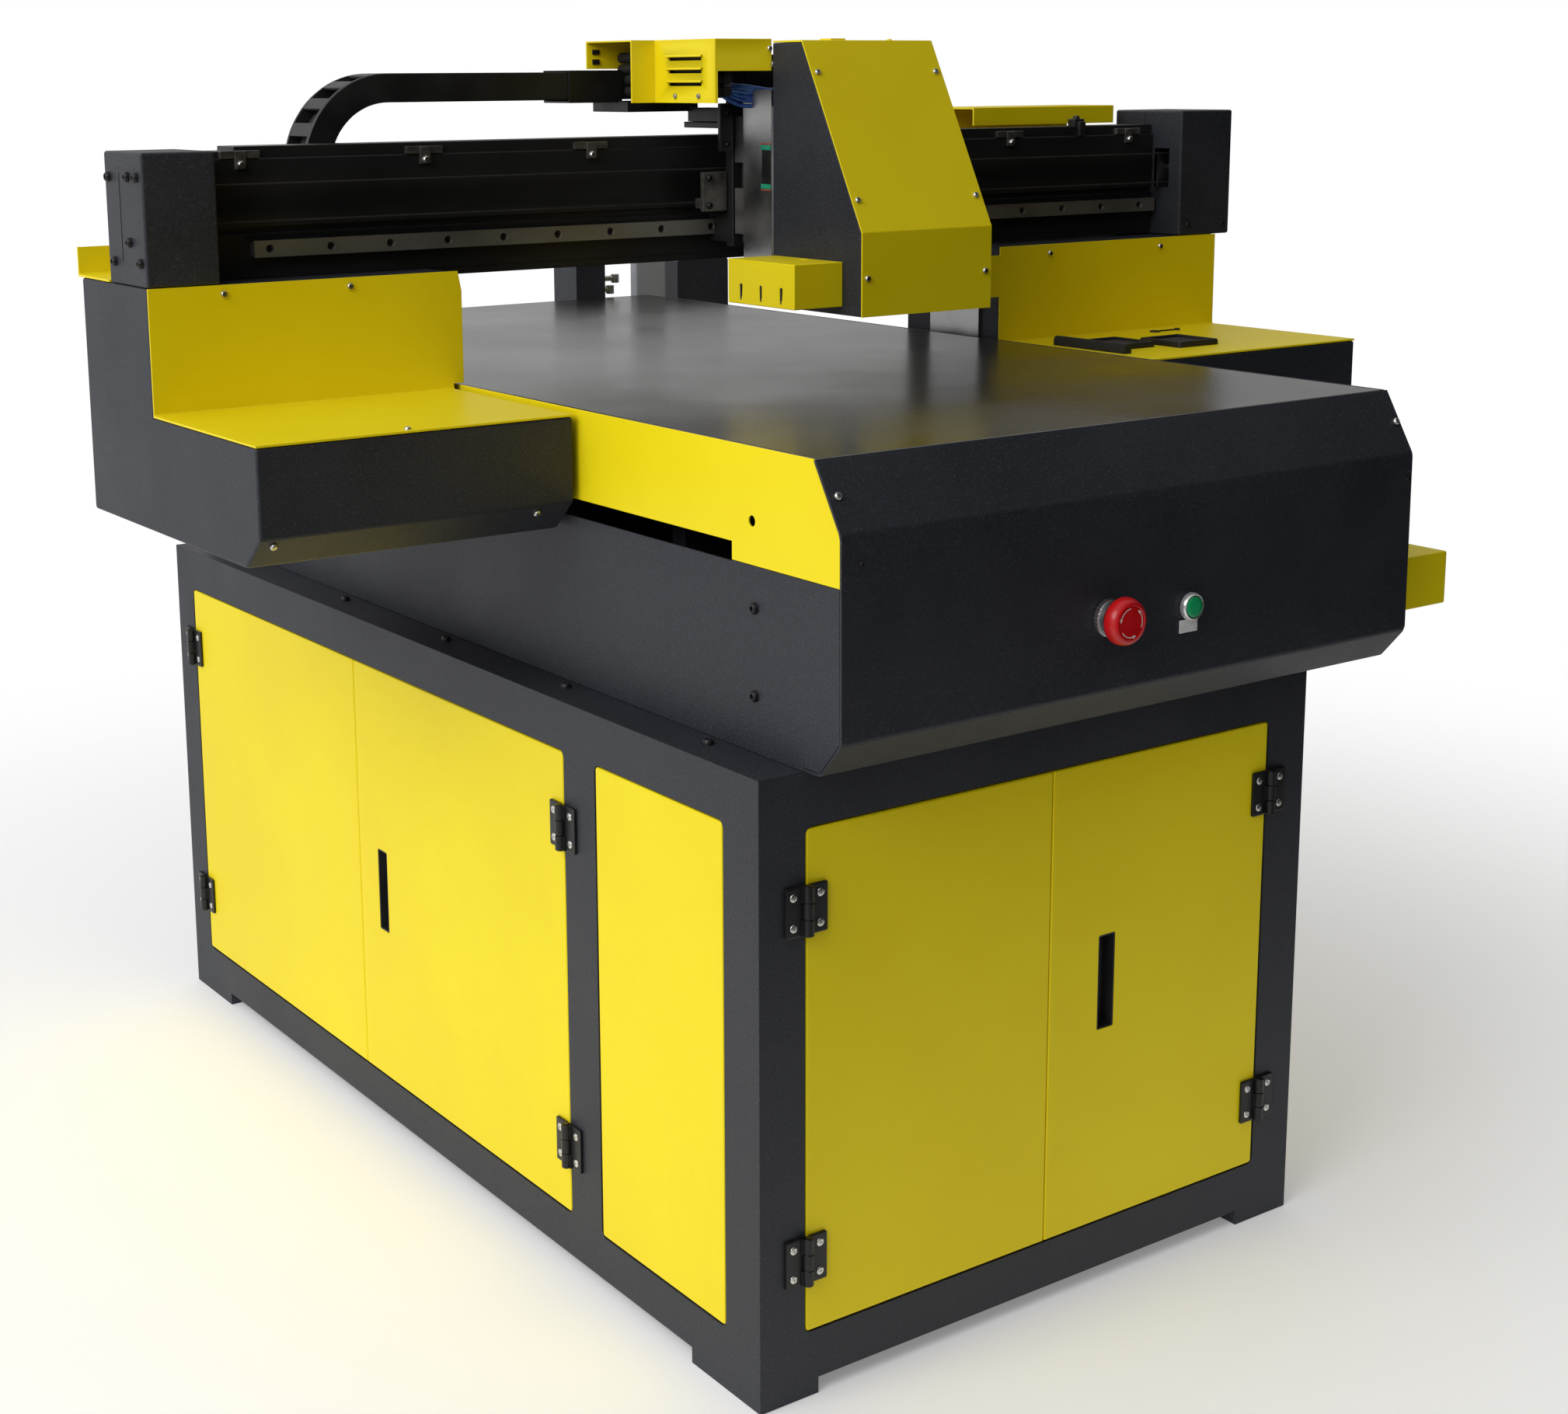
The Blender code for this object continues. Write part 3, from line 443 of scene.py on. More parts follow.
def turned(mesh, centre, axis, profile, steps=32, closed=False, teeth=0, bite=0.0):
    """A lathe shape: rings of (radius, distance along the axis); teeth cut every other step of each ring."""
    place = Matrix.Translation(centre) @ Vector(axis).to_track_quat("Z", "Y").to_matrix().to_4x4()
    count = teeth * 4 if teeth else steps
    rings = []
    for radius, along in profile:
        ring = []
        for step in range(count):
            angle = math.tau * step / count
            reach = radius - (bite if teeth and step % 4 in (0, 1) else 0.0)
            point = Vector((reach * math.cos(angle), reach * math.sin(angle), along))
            ring.append(mesh.verts.new(place @ point))
        rings.append(ring)
    if closed:
        skin(mesh, rings + rings[:1], capped=False)
    else:
        skin(mesh, rings)


def screw(mesh, centre, axis, across=0.007, proud=0.0022, cross=True):
    """A low domed screw head with a cross recess, or with a hexagon socket."""
    place = Matrix.Translation(centre) @ Vector(axis).to_track_quat("Z", "Y").to_matrix().to_4x4()
    radius = across / 2
    reach = {0: 0.58, 1: 0.34, 5: 0.34} if cross else {0: 0.50, 1: 0.47, 2: 0.45, 4: 0.45, 5: 0.47}
    inner = 0.15 if cross else 0.50
    rings = []
    for share, height in ((0.98, -0.0004), (1.0, 0.25 * proud), (0.90, 0.70 * proud), (0.70, proud)):
        rings.append([(share * radius, height)] * 24)
    for shrink, height in ((1.0, proud), (0.8, 0.35 * proud)):
        rings.append([(shrink * radius * reach.get(step % 6, inner), height) for step in range(24)])
    loops = []
    for ring in rings:
        loop = []
        for step, (out_to, height) in enumerate(ring):
            angle = math.tau * step / 24
            point = Vector((out_to * math.cos(angle), out_to * math.sin(angle), height))
            loop.append(mesh.verts.new(place @ point))
        loops.append(loop)
    skin(mesh, loops)


black_steel = finish(
    "black_steel",
    ((0.012, 0.012, 0.013), (0.018, 0.018, 0.019)),
    40,
    (0.30, 0.46),
    metal=0.3,
    grain=900,
    depth=0.00012,
)
zinc = finish(
    "zinc_plating",
    ((0.62, 0.61, 0.57), (0.72, 0.71, 0.68)),
    120,
    (0.22, 0.38),
    metal=1.0,
    grain=2500,
    depth=0.00005,
)

hinge_screws = {}
hinge_z = []
for where in ("lower", "upper"):
    low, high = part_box("hinge_front_left_" + where)
    hinge_z.append((low[2] + high[2]) / 2)
for group, place, away, body, door, side in (
    ("front_left", on_front, (0, -1, 0), "front_left_door", "front_door_left", -1),
    ("front_right", on_front, (0, -1, 0), "front_right_door", "front_door_right", 1),
    ("side_front", on_left, (-1, 0, 0), "side_front_door", "side_door_front", -1),
    ("side_rear", on_left, (-1, 0, 0), "side_rear_door", "side_door_rear", 1),
):
    axis = 0 if place is on_front else 1
    low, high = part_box(door)
    pin = (high[axis] if side > 0 else low[axis]) + side * 0.0015
    for where, middle in zip(("lower", "upper"), hinge_z):
        for rides, out_to in (("machine", side), (body, -side)):
            mesh = bmesh.new()
            edge = sorted((pin + out_to * 0.0030, pin + out_to * 0.0205))
            leaf = []
            rows = ((0.0, -0.0005), (0.0, -0.0026), (0.0005, -0.0030))
            for inset, proud in rows:
                points = corner_loop(edge, (middle - 0.0205, middle + 0.0205), [0.0015] * 4, inset)
                leaf.append(ring_of(mesh, points, place, proud))
            skin(mesh, leaf, capped=False)
            close(mesh, leaf[0])
            close(mesh, leaf[-1])
            thirds = ((-0.0205, -0.0071), (0.0071, 0.0205)) if rides == "machine" else ((-0.0067, 0.0067),)
            for start, end in thirds:
                long = end - start
                profile = [(0.0040, 0), (0.0045, 0.0005), (0.0045, long - 0.0005), (0.0040, long)]
                turned(mesh, place(pin, middle + start, -0.0050), (0, 0, 1), profile, 24)
                reach = sorted((pin, pin + out_to * 0.0060))
                corners = [place(reach[0], middle + start, -0.0008), place(reach[1], middle + end, -0.0046)]
                low_corner = [min(pair) for pair in zip(*corners)]
                high_corner = [max(pair) for pair in zip(*corners)]
                eased(mesh, low_corner, high_corner, 0.0004)
            if rides == "machine":
                foot = place(pin, middle - 0.0212, -0.0050)
                turned(mesh, foot, (0, 0, 1), [(0.0024, 0), (0.0024, 0.0424)], 16)
            hinge = "hinge_{}_{}".format(group, where)
            if rides == "machine":
                piece(hinge + "_fixed_leaf", mesh, black_steel, rides, "black_metal", hinge)
            else:
                piece(hinge + "_door_leaf", mesh, black_steel, rides, "black_metal")
            heads = hinge_screws.setdefault(rides, bmesh.new())
            for height in (-0.0125, 0.0125):
                screw(heads, place(pin + out_to * 0.0132, middle + height, -0.0030), away, 0.0072, 0.0011)
for body, heads in hinge_screws.items():
    piece("hinge_screws_" + body, heads, zinc, body, "steel")


# ------------------------------------------------------------------ inside the cabinet
# A vented sheet enclosure for the power supplies and drives stands on the cabinet floor. Its lid has rows of
# pressed slots.

bare_aluminium = finish(
    "machined_aluminium",
    ((0.50, 0.50, 0.51), (0.60, 0.60, 0.61)),
    25,
    (0.26, 0.40),
    metal=1.0,
    grain=260,
    depth=0.00006,
    stretch=(1, 1, 9),
)
mesh = softened("control_box", 0.003)
piece("drive_enclosure", mesh, bare_aluminium, "machine", "aluminium", "control_box")
low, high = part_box("control_box")
# The pressed slots are flush black patches: painted shade that stands in for the dark inside of the
# enclosure.
mesh = bmesh.new()
for row in range(3):
    for place in range(9):
        x = low[0] + 0.045 + 0.034 * place
        z = low[2] + 0.14 + 0.02 * row
        eased(mesh, (x, low[1] - 0.0002, z), (x + 0.022, low[1] + 0.008, z + 0.006), 0.0015)
piece("enclosure_vent_shade", mesh, moulded_black, "machine", "black_plastic")


# ------------------------------------------------------------------ the bed
# Two welded side beams and cross ribs, in the dark coat, carry the table: one ground aluminium plate, grey
# anodised to a satin that mirrors what stands on it, with faint wipe marks along its length.

piece("bed_weldment", softened("bed_frame", 0.002), dark_coat, "machine", "dark_coat", "bed_frame")
satin_table = finish(
    "satin_table",
    ((0.120, 0.118, 0.118), (0.150, 0.147, 0.145)),
    5,
    (0.20, 0.30),
    metal=0.92,
    grain=420,
    depth=0.00003,
    stretch=(6, 0.4, 6),
)
mesh = softened("bed_table", 0.0015, 0.0004)
piece("print_table", mesh, satin_table, "machine", "table_metal", "bed_table")

ground_steel = finish(
    "ground_steel",
    ((0.30, 0.29, 0.27), (0.33, 0.32, 0.30)),
    20,
    (0.40, 0.50),
    metal=0.85,
    grain=300,
    depth=0.00004,
    stretch=(0.3, 8, 8),
)
for node in ("y_rail_left", "y_rail_right"):
    piece(node + "_ground", softened(node, 0.0006, 0.0003), ground_steel, "machine", "steel", node)


# ------------------------------------------------------------------ sheets round the bed
# The front cover is one folded sheet: slanted top, upright face, chamfered lower edge. The side sheets are
# flat, with the long slot in which the gantry arm runs; the upper left one is yellow. All are screwed on.

for name, node, bend, coat, slot in (
    ("front_cover_sheet", "front_cover", 0.003, dark_coat, "dark_coat"),
    ("left_side_sheet", "side_plate_left", 0.002, dark_coat, "dark_coat"),
    ("left_trim_sheet", "side_trim_left", 0.002, yellow_coat, "yellow_coat"),
    ("right_side_sheet", "side_plate_right", 0.002, dark_coat, "dark_coat"),
    ("rear_sheet", "rear_plate", 0.002, dark_coat, "dark_coat"),
    ("cable_duct_sheet", "cable_duct", 0.002, yellow_coat, "yellow_coat"),
):
    piece(name, softened(node, bend), coat, "machine", slot, node)

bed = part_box("front_cover")
ledge = cabinet[1][2]
mesh = bmesh.new()
slope = Vector((0, -(bed[1][2] - 0.724), 0.032)).normalized()
for x in (bed[0][0] + 0.0085, bed[1][0] - 0.006):
    screw(mesh, (x, bed[0][1] + 0.0166, 0.7516), slope, 0.0070, 0.0024)
piece("front_cover_screws", mesh, zinc, "machine", "steel")
mesh = bmesh.new()
for x in (bed[0][0] + 0.0185, bed[1][0] - 0.006):
    screw(mesh, (x, bed[0][1], 0.7015), (0, -1, 0), 0.0036, 0.0012)
for y in (0.175, -0.041, -0.261, -0.481):
    screw(mesh, (left_face + 0.027, y, ledge), (0, 0, 1), 0.0095, 0.0042, cross=False)
for z in (0.650, 0.579):
    screw(mesh, (bed[0][0], -0.525, z), (-1, 0, 0), 0.0095, 0.0036, cross=False)
for z in (0.560, 0.650):
    for y in (-0.50, -0.10, 0.30):
        screw(mesh, (bed[1][0], y, z), (1, 0, 0), 0.0090, 0.0036, cross=False)
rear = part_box("cabinet_frame")[1][1]
for x in (-0.33, -0.12, 0.09, 0.26):
    screw(mesh, (x, rear + 0.003, 0.560), (0, 1, 0), 0.0090, 0.0036, cross=False)
piece("bed_socket_screws", mesh, black_steel, "machine", "black_metal")
mesh = bmesh.new()
for y in (-0.52, -0.16, 0.16, 0.50):
    for z in (0.075, 0.468):
        screw(mesh, (right_face, y, z), (1, 0, 0), 0.0070, 0.0022)
piece("right_panel_screws", mesh, zinc, "machine", "steel")


# ------------------------------------------------------------------ ink tanks
# The moulded rack at the back holds the ink tanks, each a milky bottle with a ribbed screw cap, and the tall
# flushing tank. The pump box between them has two plated pipe fittings.

tank_plastic = finish(
    "milky_tank_plastic", ((0.33, 0.34, 0.37), (0.38, 0.39, 0.42)), 14, (0.34, 0.46), grain=900, depth=0.00008
)
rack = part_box("ink_tanks")
mesh = bmesh.new()
eased(mesh, (rack[0][0], rack[0][1], rack[0][2]), (rack[1][0], 0.586, rack[0][2] + 0.024), 0.002)
eased(mesh, (rack[0][0], 0.575, rack[0][2]), (0.098, rack[1][1] - 0.002, rack[0][2] + 0.024), 0.002)
eased(mesh, (0.265, 0.5755, rack[0][2]), (rack[1][0], 0.6215, rack[0][2] + 0.024), 0.003)
eased(mesh, (0.265, 0.606, rack[0][2] + 0.001), (rack[1][0], 0.622, rack[1][2]), 0.003)
caps = bmesh.new()
for index in range(5):
    x = -0.296 + 0.079 * index
    eased(mesh, (x, 0.580, 0.700), (x + 0.070, 0.650, 0.725), 0.006)
    neck = [(0.030, 0), (0.026, 0.006), (0.019, 0.009), (0.019, 0.012)]
    turned(mesh, (x + 0.035, 0.615, 0.723), (0, 0, 1), neck)
    rim = [(0.020, 0), (0.021, 0.002), (0.021, 0.019), (0.018, 0.023)]
    turned(caps, (x + 0.035, 0.615, 0.7315), (0, 0, 1), rim, teeth=24, bite=0.0007)
    turned(caps, (x + 0.035, 0.615, 0.753), (0, 0, 1), [(0.004, 0), (0.004, 0.0045)], 12)
piece("tank_bottles", mesh, tank_plastic, "machine", "tank_plastic", "ink_tanks")
piece("tank_caps", caps, moulded_black, "machine", "black_plastic")
mesh = bmesh.new()
for z, out_to in ((0.800, 0.030), (0.786, 0.022)):
    stem = [(0.0060, 0), (0.0060, 0.004), (0.0036, 0.005), (0.0036, out_to)]
    turned(mesh, (0.2168, 0.630, z), (1, 0, 0), stem, 20)
    end_cap = [(0.0050, 0), (0.0055, 0.001), (0.0055, 0.011)]
    turned(mesh, (0.2168 + out_to, 0.630, z - 0.006), (0, 0, 1), end_cap, 20)
piece("pump_fittings", mesh, zinc, "machine", "steel")


# ------------------------------------------------------------------ gantry drive motor
# A square stepping motor: a black laminated body between two cast aluminium end plates, screwed down on a
# folded steel foot, with its shaft towards the operator.


def motor(mesh, ends, low, high, along):
    """Stack of a motor: the body between its two end plates, drawn in a little from them."""
    low, high = Vector(low), Vector(high)
    plate = 0.16 * (high[along] - low[along])
    first, second = high.copy(), low.copy()
    first[along] = low[along] + plate
    second[along] = high[along] - plate
    eased(ends, low, first, 0.0022)
    eased(ends, second, high, 0.0022)
    inner_low, inner_high = low + Vector((0.0015,) * 3), high - Vector((0.0015,) * 3)
    inner_low[along], inner_high[along] = first[along] - 0.001, second[along] + 0.001
    eased(mesh, inner_low, inner_high, 0.004)


body_mesh, end_mesh = bmesh.new(), bmesh.new()
motor(body_mesh, end_mesh, (-0.066, 0.400, 0.546), (-0.010, 0.480, 0.602), 1)
eased(body_mesh, (-0.080, 0.405, ledge + 0.0003), (0.004, 0.475, 0.5475), 0.001)
turned(end_mesh, (-0.038, 0.366, 0.574), (0, 1, 0), [(0.0036, 0), (0.004, 0.0004), (0.004, 0.035)], 20)
piece("y_motor_body", body_mesh, black_steel, "machine", "black_metal", "y_motor")
piece("y_motor_ends", end_mesh, bare_aluminium, "machine", "aluminium")


# ------------------------------------------------------------------ emergency stop and start button
# A red mushroom of glossy plastic on a grey knurled collar, with three pale arrows moulded into its face, and
# a bright bezel with a green lens. A blank metal label sits under the green button.

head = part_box("estop_head")
stop_at = Vector(((head[0][0] + head[1][0]) / 2, bed[0][1], (head[0][2] + head[1][2]) / 2))
mesh = bmesh.new()
knurl = [(0.0160, 0), (0.0160, 0.0030), (0.0148, 0.0034), (0.0148, 0.0046)]
turned(mesh, stop_at + Vector((0, -0.0003, 0)), (0, -1, 0), knurl, teeth=30, bite=0.0004)
neck = [(0.0140, 0), (0.0136, 0.0044), (0.0128, 0.0048)]
turned(mesh, stop_at + Vector((0, -0.0045, 0)), (0, -1, 0), neck)
piece("stop_collar", mesh, bare_aluminium, "machine", "steel", "estop_collar")

red_plastic = finish(
    "glossy_red", ((0.60, 0.006, 0.010), (0.66, 0.010, 0.014)), 60, (0.20, 0.30), grain=1400, depth=0.00004
)
thick = stop_at.y - head[0][1]
mesh = bmesh.new()
turned(mesh, stop_at, (0, -1, 0), [
    (0.0075, -0.010), (0.0075, thick - 0.0138), (0.0165, thick - 0.0138), (0.0190, thick - 0.0128),
    (0.0200, thick - 0.0105), (0.0200, thick - 0.0080), (0.0192, thick - 0.0042), (0.0176, thick - 0.0016),
    (0.0160, thick - 0.0004), (0.0146, thick - 0.0001), (0.0140, thick - 0.0008), (0.0090, thick - 0.0005),
    (0.0001, thick - 0.0004),
], 48)
piece("stop_mushroom", mesh, red_plastic, "stop_button", "red_plastic", "estop_head")

pale_print = finish("pale_moulded_arrow", ((0.80, 0.62, 0.58), (0.86, 0.70, 0.66)), 200, (0.40, 0.50))
mesh = bmesh.new()
for third in range(3):
    start = math.radians(95 + 120 * third)
    rings = [[], [], [], []]
    for step in range(13):
        angle = start + math.radians(80) * step / 12
        half = 0.0004 if step < 10 else 0.0012 * (12 - step) / 2 + 0.0001
        for ring, (radius, rise) in zip(rings, ((-half, 0.0), (-half, 0.0004), (half, 0.0004), (half, 0.0))):
            around = Vector((math.cos(angle), 0, math.sin(angle))) * (0.0120 + radius)
            ring.append(mesh.verts.new(stop_at + around + Vector((0, -(thick - 0.0009) - rise, 0))))
    for first, second in zip(rings, rings[1:] + rings[:1]):
        for step in range(12):
            mesh.faces.new((first[step], first[step + 1], second[step + 1], second[step]))
    mesh.faces.new([ring[0] for ring in rings])
    mesh.faces.new([ring[-1] for ring in rings][::-1])
piece("stop_arrows", mesh, pale_print, "stop_button", "red_plastic")

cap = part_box("start_button")
start_at = Vector(((cap[0][0] + cap[1][0]) / 2, bed[0][1], (cap[0][2] + cap[1][2]) / 2))
chrome = finish(
    "bright_bezel",
    ((0.80, 0.80, 0.81), (0.88, 0.88, 0.89)),
    90,
    (0.20, 0.32),
    metal=0.75,
    grain=2200,
    depth=0.00003,
)
mesh = bmesh.new()
turned(mesh, start_at + Vector((0, -0.0003, 0)), (0, -1, 0), [
    (0.0118, 0), (0.0120, 0.0004), (0.0120, 0.0030), (0.0112, 0.0052), (0.0104, 0.0058), (0.0098, 0.0056),
    (0.0094, 0.0044), (0.0094, 0.0004),
], 40, closed=True)
piece("start_bezel", mesh, chrome, "machine", "steel", "button_bezel")
green_lens = finish(
    "green_lens", ((0.010, 0.36, 0.12), (0.016, 0.44, 0.16)), 90, (0.22, 0.34), grain=1200, depth=0.00004
)
mesh = bmesh.new()
turned(mesh, start_at, (0, -1, 0), [
    (0.0088, 0.0030), (0.0088, 0.0058), (0.0080, 0.0066), (0.0050, 0.0069), (0.0001, 0.0070),
], 40)
piece("start_lens", mesh, green_lens, "green_button", "green_plastic", "start_button")
label_metal = finish(
    "blank_label",
    ((0.78, 0.79, 0.79), (0.86, 0.87, 0.87)),
    160,
    (0.34, 0.46),
    metal=0.1,
    grain=1600,
    depth=0.00005,
)
mesh = bmesh.new()
low = (start_at.x - 0.0115, bed[0][1] - 0.0008, 0.6002)
high = (start_at.x + 0.0092, bed[0][1] + 0.0002, 0.6112)
eased(mesh, low, high, 0.0003)
piece("start_label", mesh, label_metal, "machine", "steel")


# ------------------------------------------------------------------ gantry housings and step covers
# Each end of the gantry has a dark sheet housing with a chamfered lower edge, closed by one yellow sheet that
# folds from the low step up the face of the tall part. Small zinc screws hold the yellow sheets.

for side in ("left", "right"):
    node = "housing_" + side
    piece(node + "_sheet", softened(node, 0.0025), dark_coat, "gantry", "dark_coat", node)
    node = "step_cover_" + side
    piece(node + "_sheet", softened(node, 0.0015), yellow_coat, "gantry", "yellow_coat", node)
    node = "gantry_arm_" + side
    piece(node + "_machined", softened(node, 0.002), bare_aluminium, "gantry", "aluminium", node)

left_cover, right_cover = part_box("step_cover_left"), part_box("step_cover_right")
left_house, right_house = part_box("housing_left"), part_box("housing_right")
panel_y = -0.057
mesh = bmesh.new()
for x in (left_cover[0][0] + 0.069, left_cover[0][0] + 0.190):
    screw(mesh, (x, panel_y, left_cover[1][2] - 0.008), (0, -1, 0), 0.0068, 0.0026)
for x in (right_cover[0][0] + 0.085, right_cover[1][0] - 0.090):
    screw(mesh, (x, panel_y, right_cover[1][2] - 0.010), (0, -1, 0), 0.0068, 0.0026)
screw(mesh, (-0.523, left_house[0][1] + 0.007, left_cover[0][2] + 0.002), (0, 0, 1), 0.0060, 0.0022)
chamfer = Vector((0, -0.027, -0.029)).normalized()
for house in (left_house, right_house):
    for x in (house[0][0] + 0.014, house[1][0] - 0.034):
        screw(mesh, (x, house[0][1] + 0.006, 0.6915), chamfer, 0.0066, 0.0024)
piece("housing_screws", mesh, zinc, "gantry", "steel")


# ------------------------------------------------------------------ capping station
# Where the head parks, a rubber wiper bar and two capping pads look up through the right step: black moulded
# trays with a raised soft lip and a sponge bed. A small drain pin stands behind them.

black_rubber = finish(
    "black_rubber",
    ((0.010, 0.010, 0.010), (0.016, 0.016, 0.016)),
    60,
    (0.62, 0.78),
    grain=1100,
    depth=0.00018,
)
sponge = finish(
    "ink_sponge", ((0.020, 0.020, 0.021), (0.045, 0.045, 0.048)), 220, (0.85, 0.95), depth=0.0006
)
mesh = bmesh.new()
eased(mesh, (0.330, -0.232, 0.740), (0.500, -0.100, 0.748), 0.001)
eased(mesh, (0.350, -0.231, 0.6735), (0.480, -0.206, 0.742), 0.001)
eased(mesh, (0.338, -0.218, 0.746), (0.348, -0.110, 0.7695), 0.001)
beds = bmesh.new()
step_top = 0.771
for x, y in ((0.352, -0.190), (0.424, -0.214)):
    rings = []
    across, deep = (x, x + 0.060), (y, y + 0.062)
    wall = ((0.0, 0.746), (0.0, 0.7752), (0.0012, 0.777), (0.0042, 0.777), (0.0052, 0.7758), (0.006, 0.768))
    for inset, z in wall:
        points = corner_loop(across, deep, [0.004] * 4, inset)
        rings.append([mesh.verts.new((u, v, z)) for u, v in points])
    skin(mesh, rings, capped=False)
    close(mesh, rings[0])
    close(mesh, rings[-1])
    eased(beds, (x + 0.0062, y + 0.0062, 0.766), (x + 0.0538, y + 0.0558, 0.7745), 0.0015)
piece("cap_trays", mesh, moulded_black, "gantry", "black_plastic", "capping_station")
piece("cap_sponges", beds, sponge, "gantry", "black_plastic")
mesh = bmesh.new()
outline = [
    (0.3382, 0.7695), (0.3382, 0.7775), (0.3405, 0.7808), (0.3455, 0.7808), (0.3478, 0.7775), (0.3478, 0.7695)
]
skin(mesh, [[mesh.verts.new((x, y, z)) for x, z in outline] for y in (-0.218, -0.110)])
piece("wiper_bar", mesh, black_rubber, "gantry", "black_plastic")
mesh = bmesh.new()
turned(mesh, (0.517, -0.085, step_top), (0, 0, 1), [(0.006, -0.001), (0.006, 0.0012), (0.0045, 0.0018)], 20)
eased(mesh, (0.517, -0.0862, step_top), (0.551, -0.0838, step_top + 0.0016), 0.0005)
turned(mesh, (0.552, -0.085, step_top), (0, 0, 1), [(0.0035, -0.001), (0.0035, 0.0016), (0.0025, 0.0022)], 16)
piece("drain_pin", mesh, black_rubber, "gantry", "black_plastic")


# ------------------------------------------------------------------ the beam
# One long black anodised extrusion, fine-ribbed along its length by the die, with the ground carriage rail
# screwed to its face. Small black clips with a zinc screw hold the strip along the top edge.

black_anodised = finish(
    "black_anodised_beam",
    ((0.017, 0.017, 0.018), (0.024, 0.024, 0.025)),
    7,
    (0.34, 0.44),
    metal=0.35,
    grain=420,
    depth=0.00005,
    stretch=(0.05, 3, 3),
)
mesh = softened("gantry_beam", 0.0010, 0.0004)
piece("beam_extrusion", mesh, black_anodised, "gantry", "black_metal", "gantry_beam")
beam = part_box("gantry_beam")
beam_front = beam[0][1]
mesh, heads = bmesh.new(), bmesh.new()
for x in (-0.552, -0.368, -0.186, 0.358, 0.538):
    top_z = beam[1][2]
    bar = ((x - 0.019, beam_front - 0.0015, top_z - 0.0105), (x + 0.019, beam_front + 0.0035, top_z - 0.0035))
    eased(mesh, *bar, 0.0008)
    low = (x - 0.0055, beam_front - 0.0025, top_z - 0.0200)
    high = (x + 0.0055, beam_front + 0.0005, top_z - 0.0040)
    eased(mesh, low, high, 0.0008)
    screw(heads, (x, beam_front - 0.0025, top_z - 0.0160), (0, -1, 0), 0.0080, 0.0034)
clip_steel = finish(
    "oiled_steel_clips",
    ((0.12, 0.115, 0.105), (0.19, 0.18, 0.165)),
    90,
    (0.34, 0.50),
    metal=0.8,
    grain=900,
    depth=0.00010,
)
piece("strip_clips", mesh, clip_steel, "gantry", "black_metal")
piece("strip_screws", heads, zinc, "gantry", "steel")
mesh = bmesh.new()
eased(mesh, (0.459, beam_front + 0.004, top_z - 0.0010), (0.474, beam_front + 0.016, top_z + 0.0080), 0.0012)
eased(mesh, (0.462, beam_front - 0.0015, top_z - 0.0110), (0.471, beam_front + 0.006, top_z + 0.0050), 0.0010)
screw(mesh, (0.4665, beam_front + 0.010, top_z + 0.0080), (0, 0, 1), 0.0080, 0.0034, cross=False)
piece("strip_stop", mesh, moulded_black, "gantry", "black_plastic")

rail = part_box("x_rail")
mesh, bolts = bmesh.new(), bmesh.new()
side_profile = [
    (-0.0220, 0.9180), (-0.0190, 0.9180), (-0.0170, 0.9160), (-0.0123, 0.9160), (-0.0123, 0.9050),
    (-0.0170, 0.9050), (-0.0190, 0.9030), (-0.0220, 0.9030),
]
ends = [[mesh.verts.new((x, y, z)) for y, z in side_profile] for x in (rail[0][0], rail[1][0])]
for index in range(len(side_profile) - 1):
    mesh.faces.new((ends[0][index], ends[0][index + 1], ends[1][index + 1], ends[1][index]))
mesh.faces.new(ends[0])
mesh.faces.new(ends[1][::-1])
around = [Matrix.Rotation(-math.tau * step / 20, 3, "Y") @ Vector((1, 0, 0)) for step in range(20)]
holes = []
for index in range(19):
    x = rail[0][0] + 0.015 + 0.060 * index
    middle = Vector((x, 0, 0.9105))
    mouth = [mesh.verts.new(middle + 0.0039 * way + Vector((0, -0.0220, 0))) for way in around]
    lip = [mesh.verts.new(middle + 0.0036 * way + Vector((0, -0.0216, 0))) for way in around]
    base = [mesh.verts.new(middle + 0.0036 * way + Vector((0, -0.0180, 0))) for way in around]
    bridge(mesh, mouth, lip)
    bridge(mesh, lip, base)
    mesh.faces.new(base)
    holes.append(mouth)
    screw(bolts, (x, -0.0181, 0.9105), (0, -1, 0), 0.0062, 0.0024, cross=False)
close(mesh, [ends[0][0], ends[1][0], ends[1][-1], ends[0][-1]], *holes)
piece("carriage_rail", mesh, ground_steel, "gantry", "steel", "x_rail")
piece("rail_bolts", bolts, black_steel, "gantry", "black_metal")


# ------------------------------------------------------------------ end boxes, belt and pulleys
# Sheet boxes with black socket screws close the beam at both ends, over the belt pulleys. The toothed belt
# runs from an idler on the left to the motor pulley on the right.

for node in ("end_box_left", "end_box_right"):
    piece(node + "_sheet", softened(node, 0.0025), dark_coat, "gantry", "dark_coat", node)
end_left, end_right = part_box("end_box_left"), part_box("end_box_right")
mesh = bmesh.new()
for y, z in (
    (0.019, 0.977), (-0.025, 0.978), (-0.045, 0.978), (-0.024, 0.922), (-0.047, 0.905), (0.014, 0.904)
):
    screw(mesh, (end_left[0][0], y, z), (-1, 0, 0), 0.0088, 0.0040, cross=False)
for y, z in ((0.030, 0.995), (-0.036, 0.995), (0.030, 0.900), (-0.036, 0.900)):
    screw(mesh, (end_right[1][0], y, z), (1, 0, 0), 0.0088, 0.0040, cross=False)
for x in (end_right[0][0] + 0.014, end_right[1][0] - 0.012):
    screw(mesh, (x, end_right[0][1], end_right[0][2] + 0.012), (0, -1, 0), 0.0056, 0.0018, cross=False)
piece("end_box_screws", mesh, black_steel, "gantry", "black_metal")
mesh = bmesh.new()
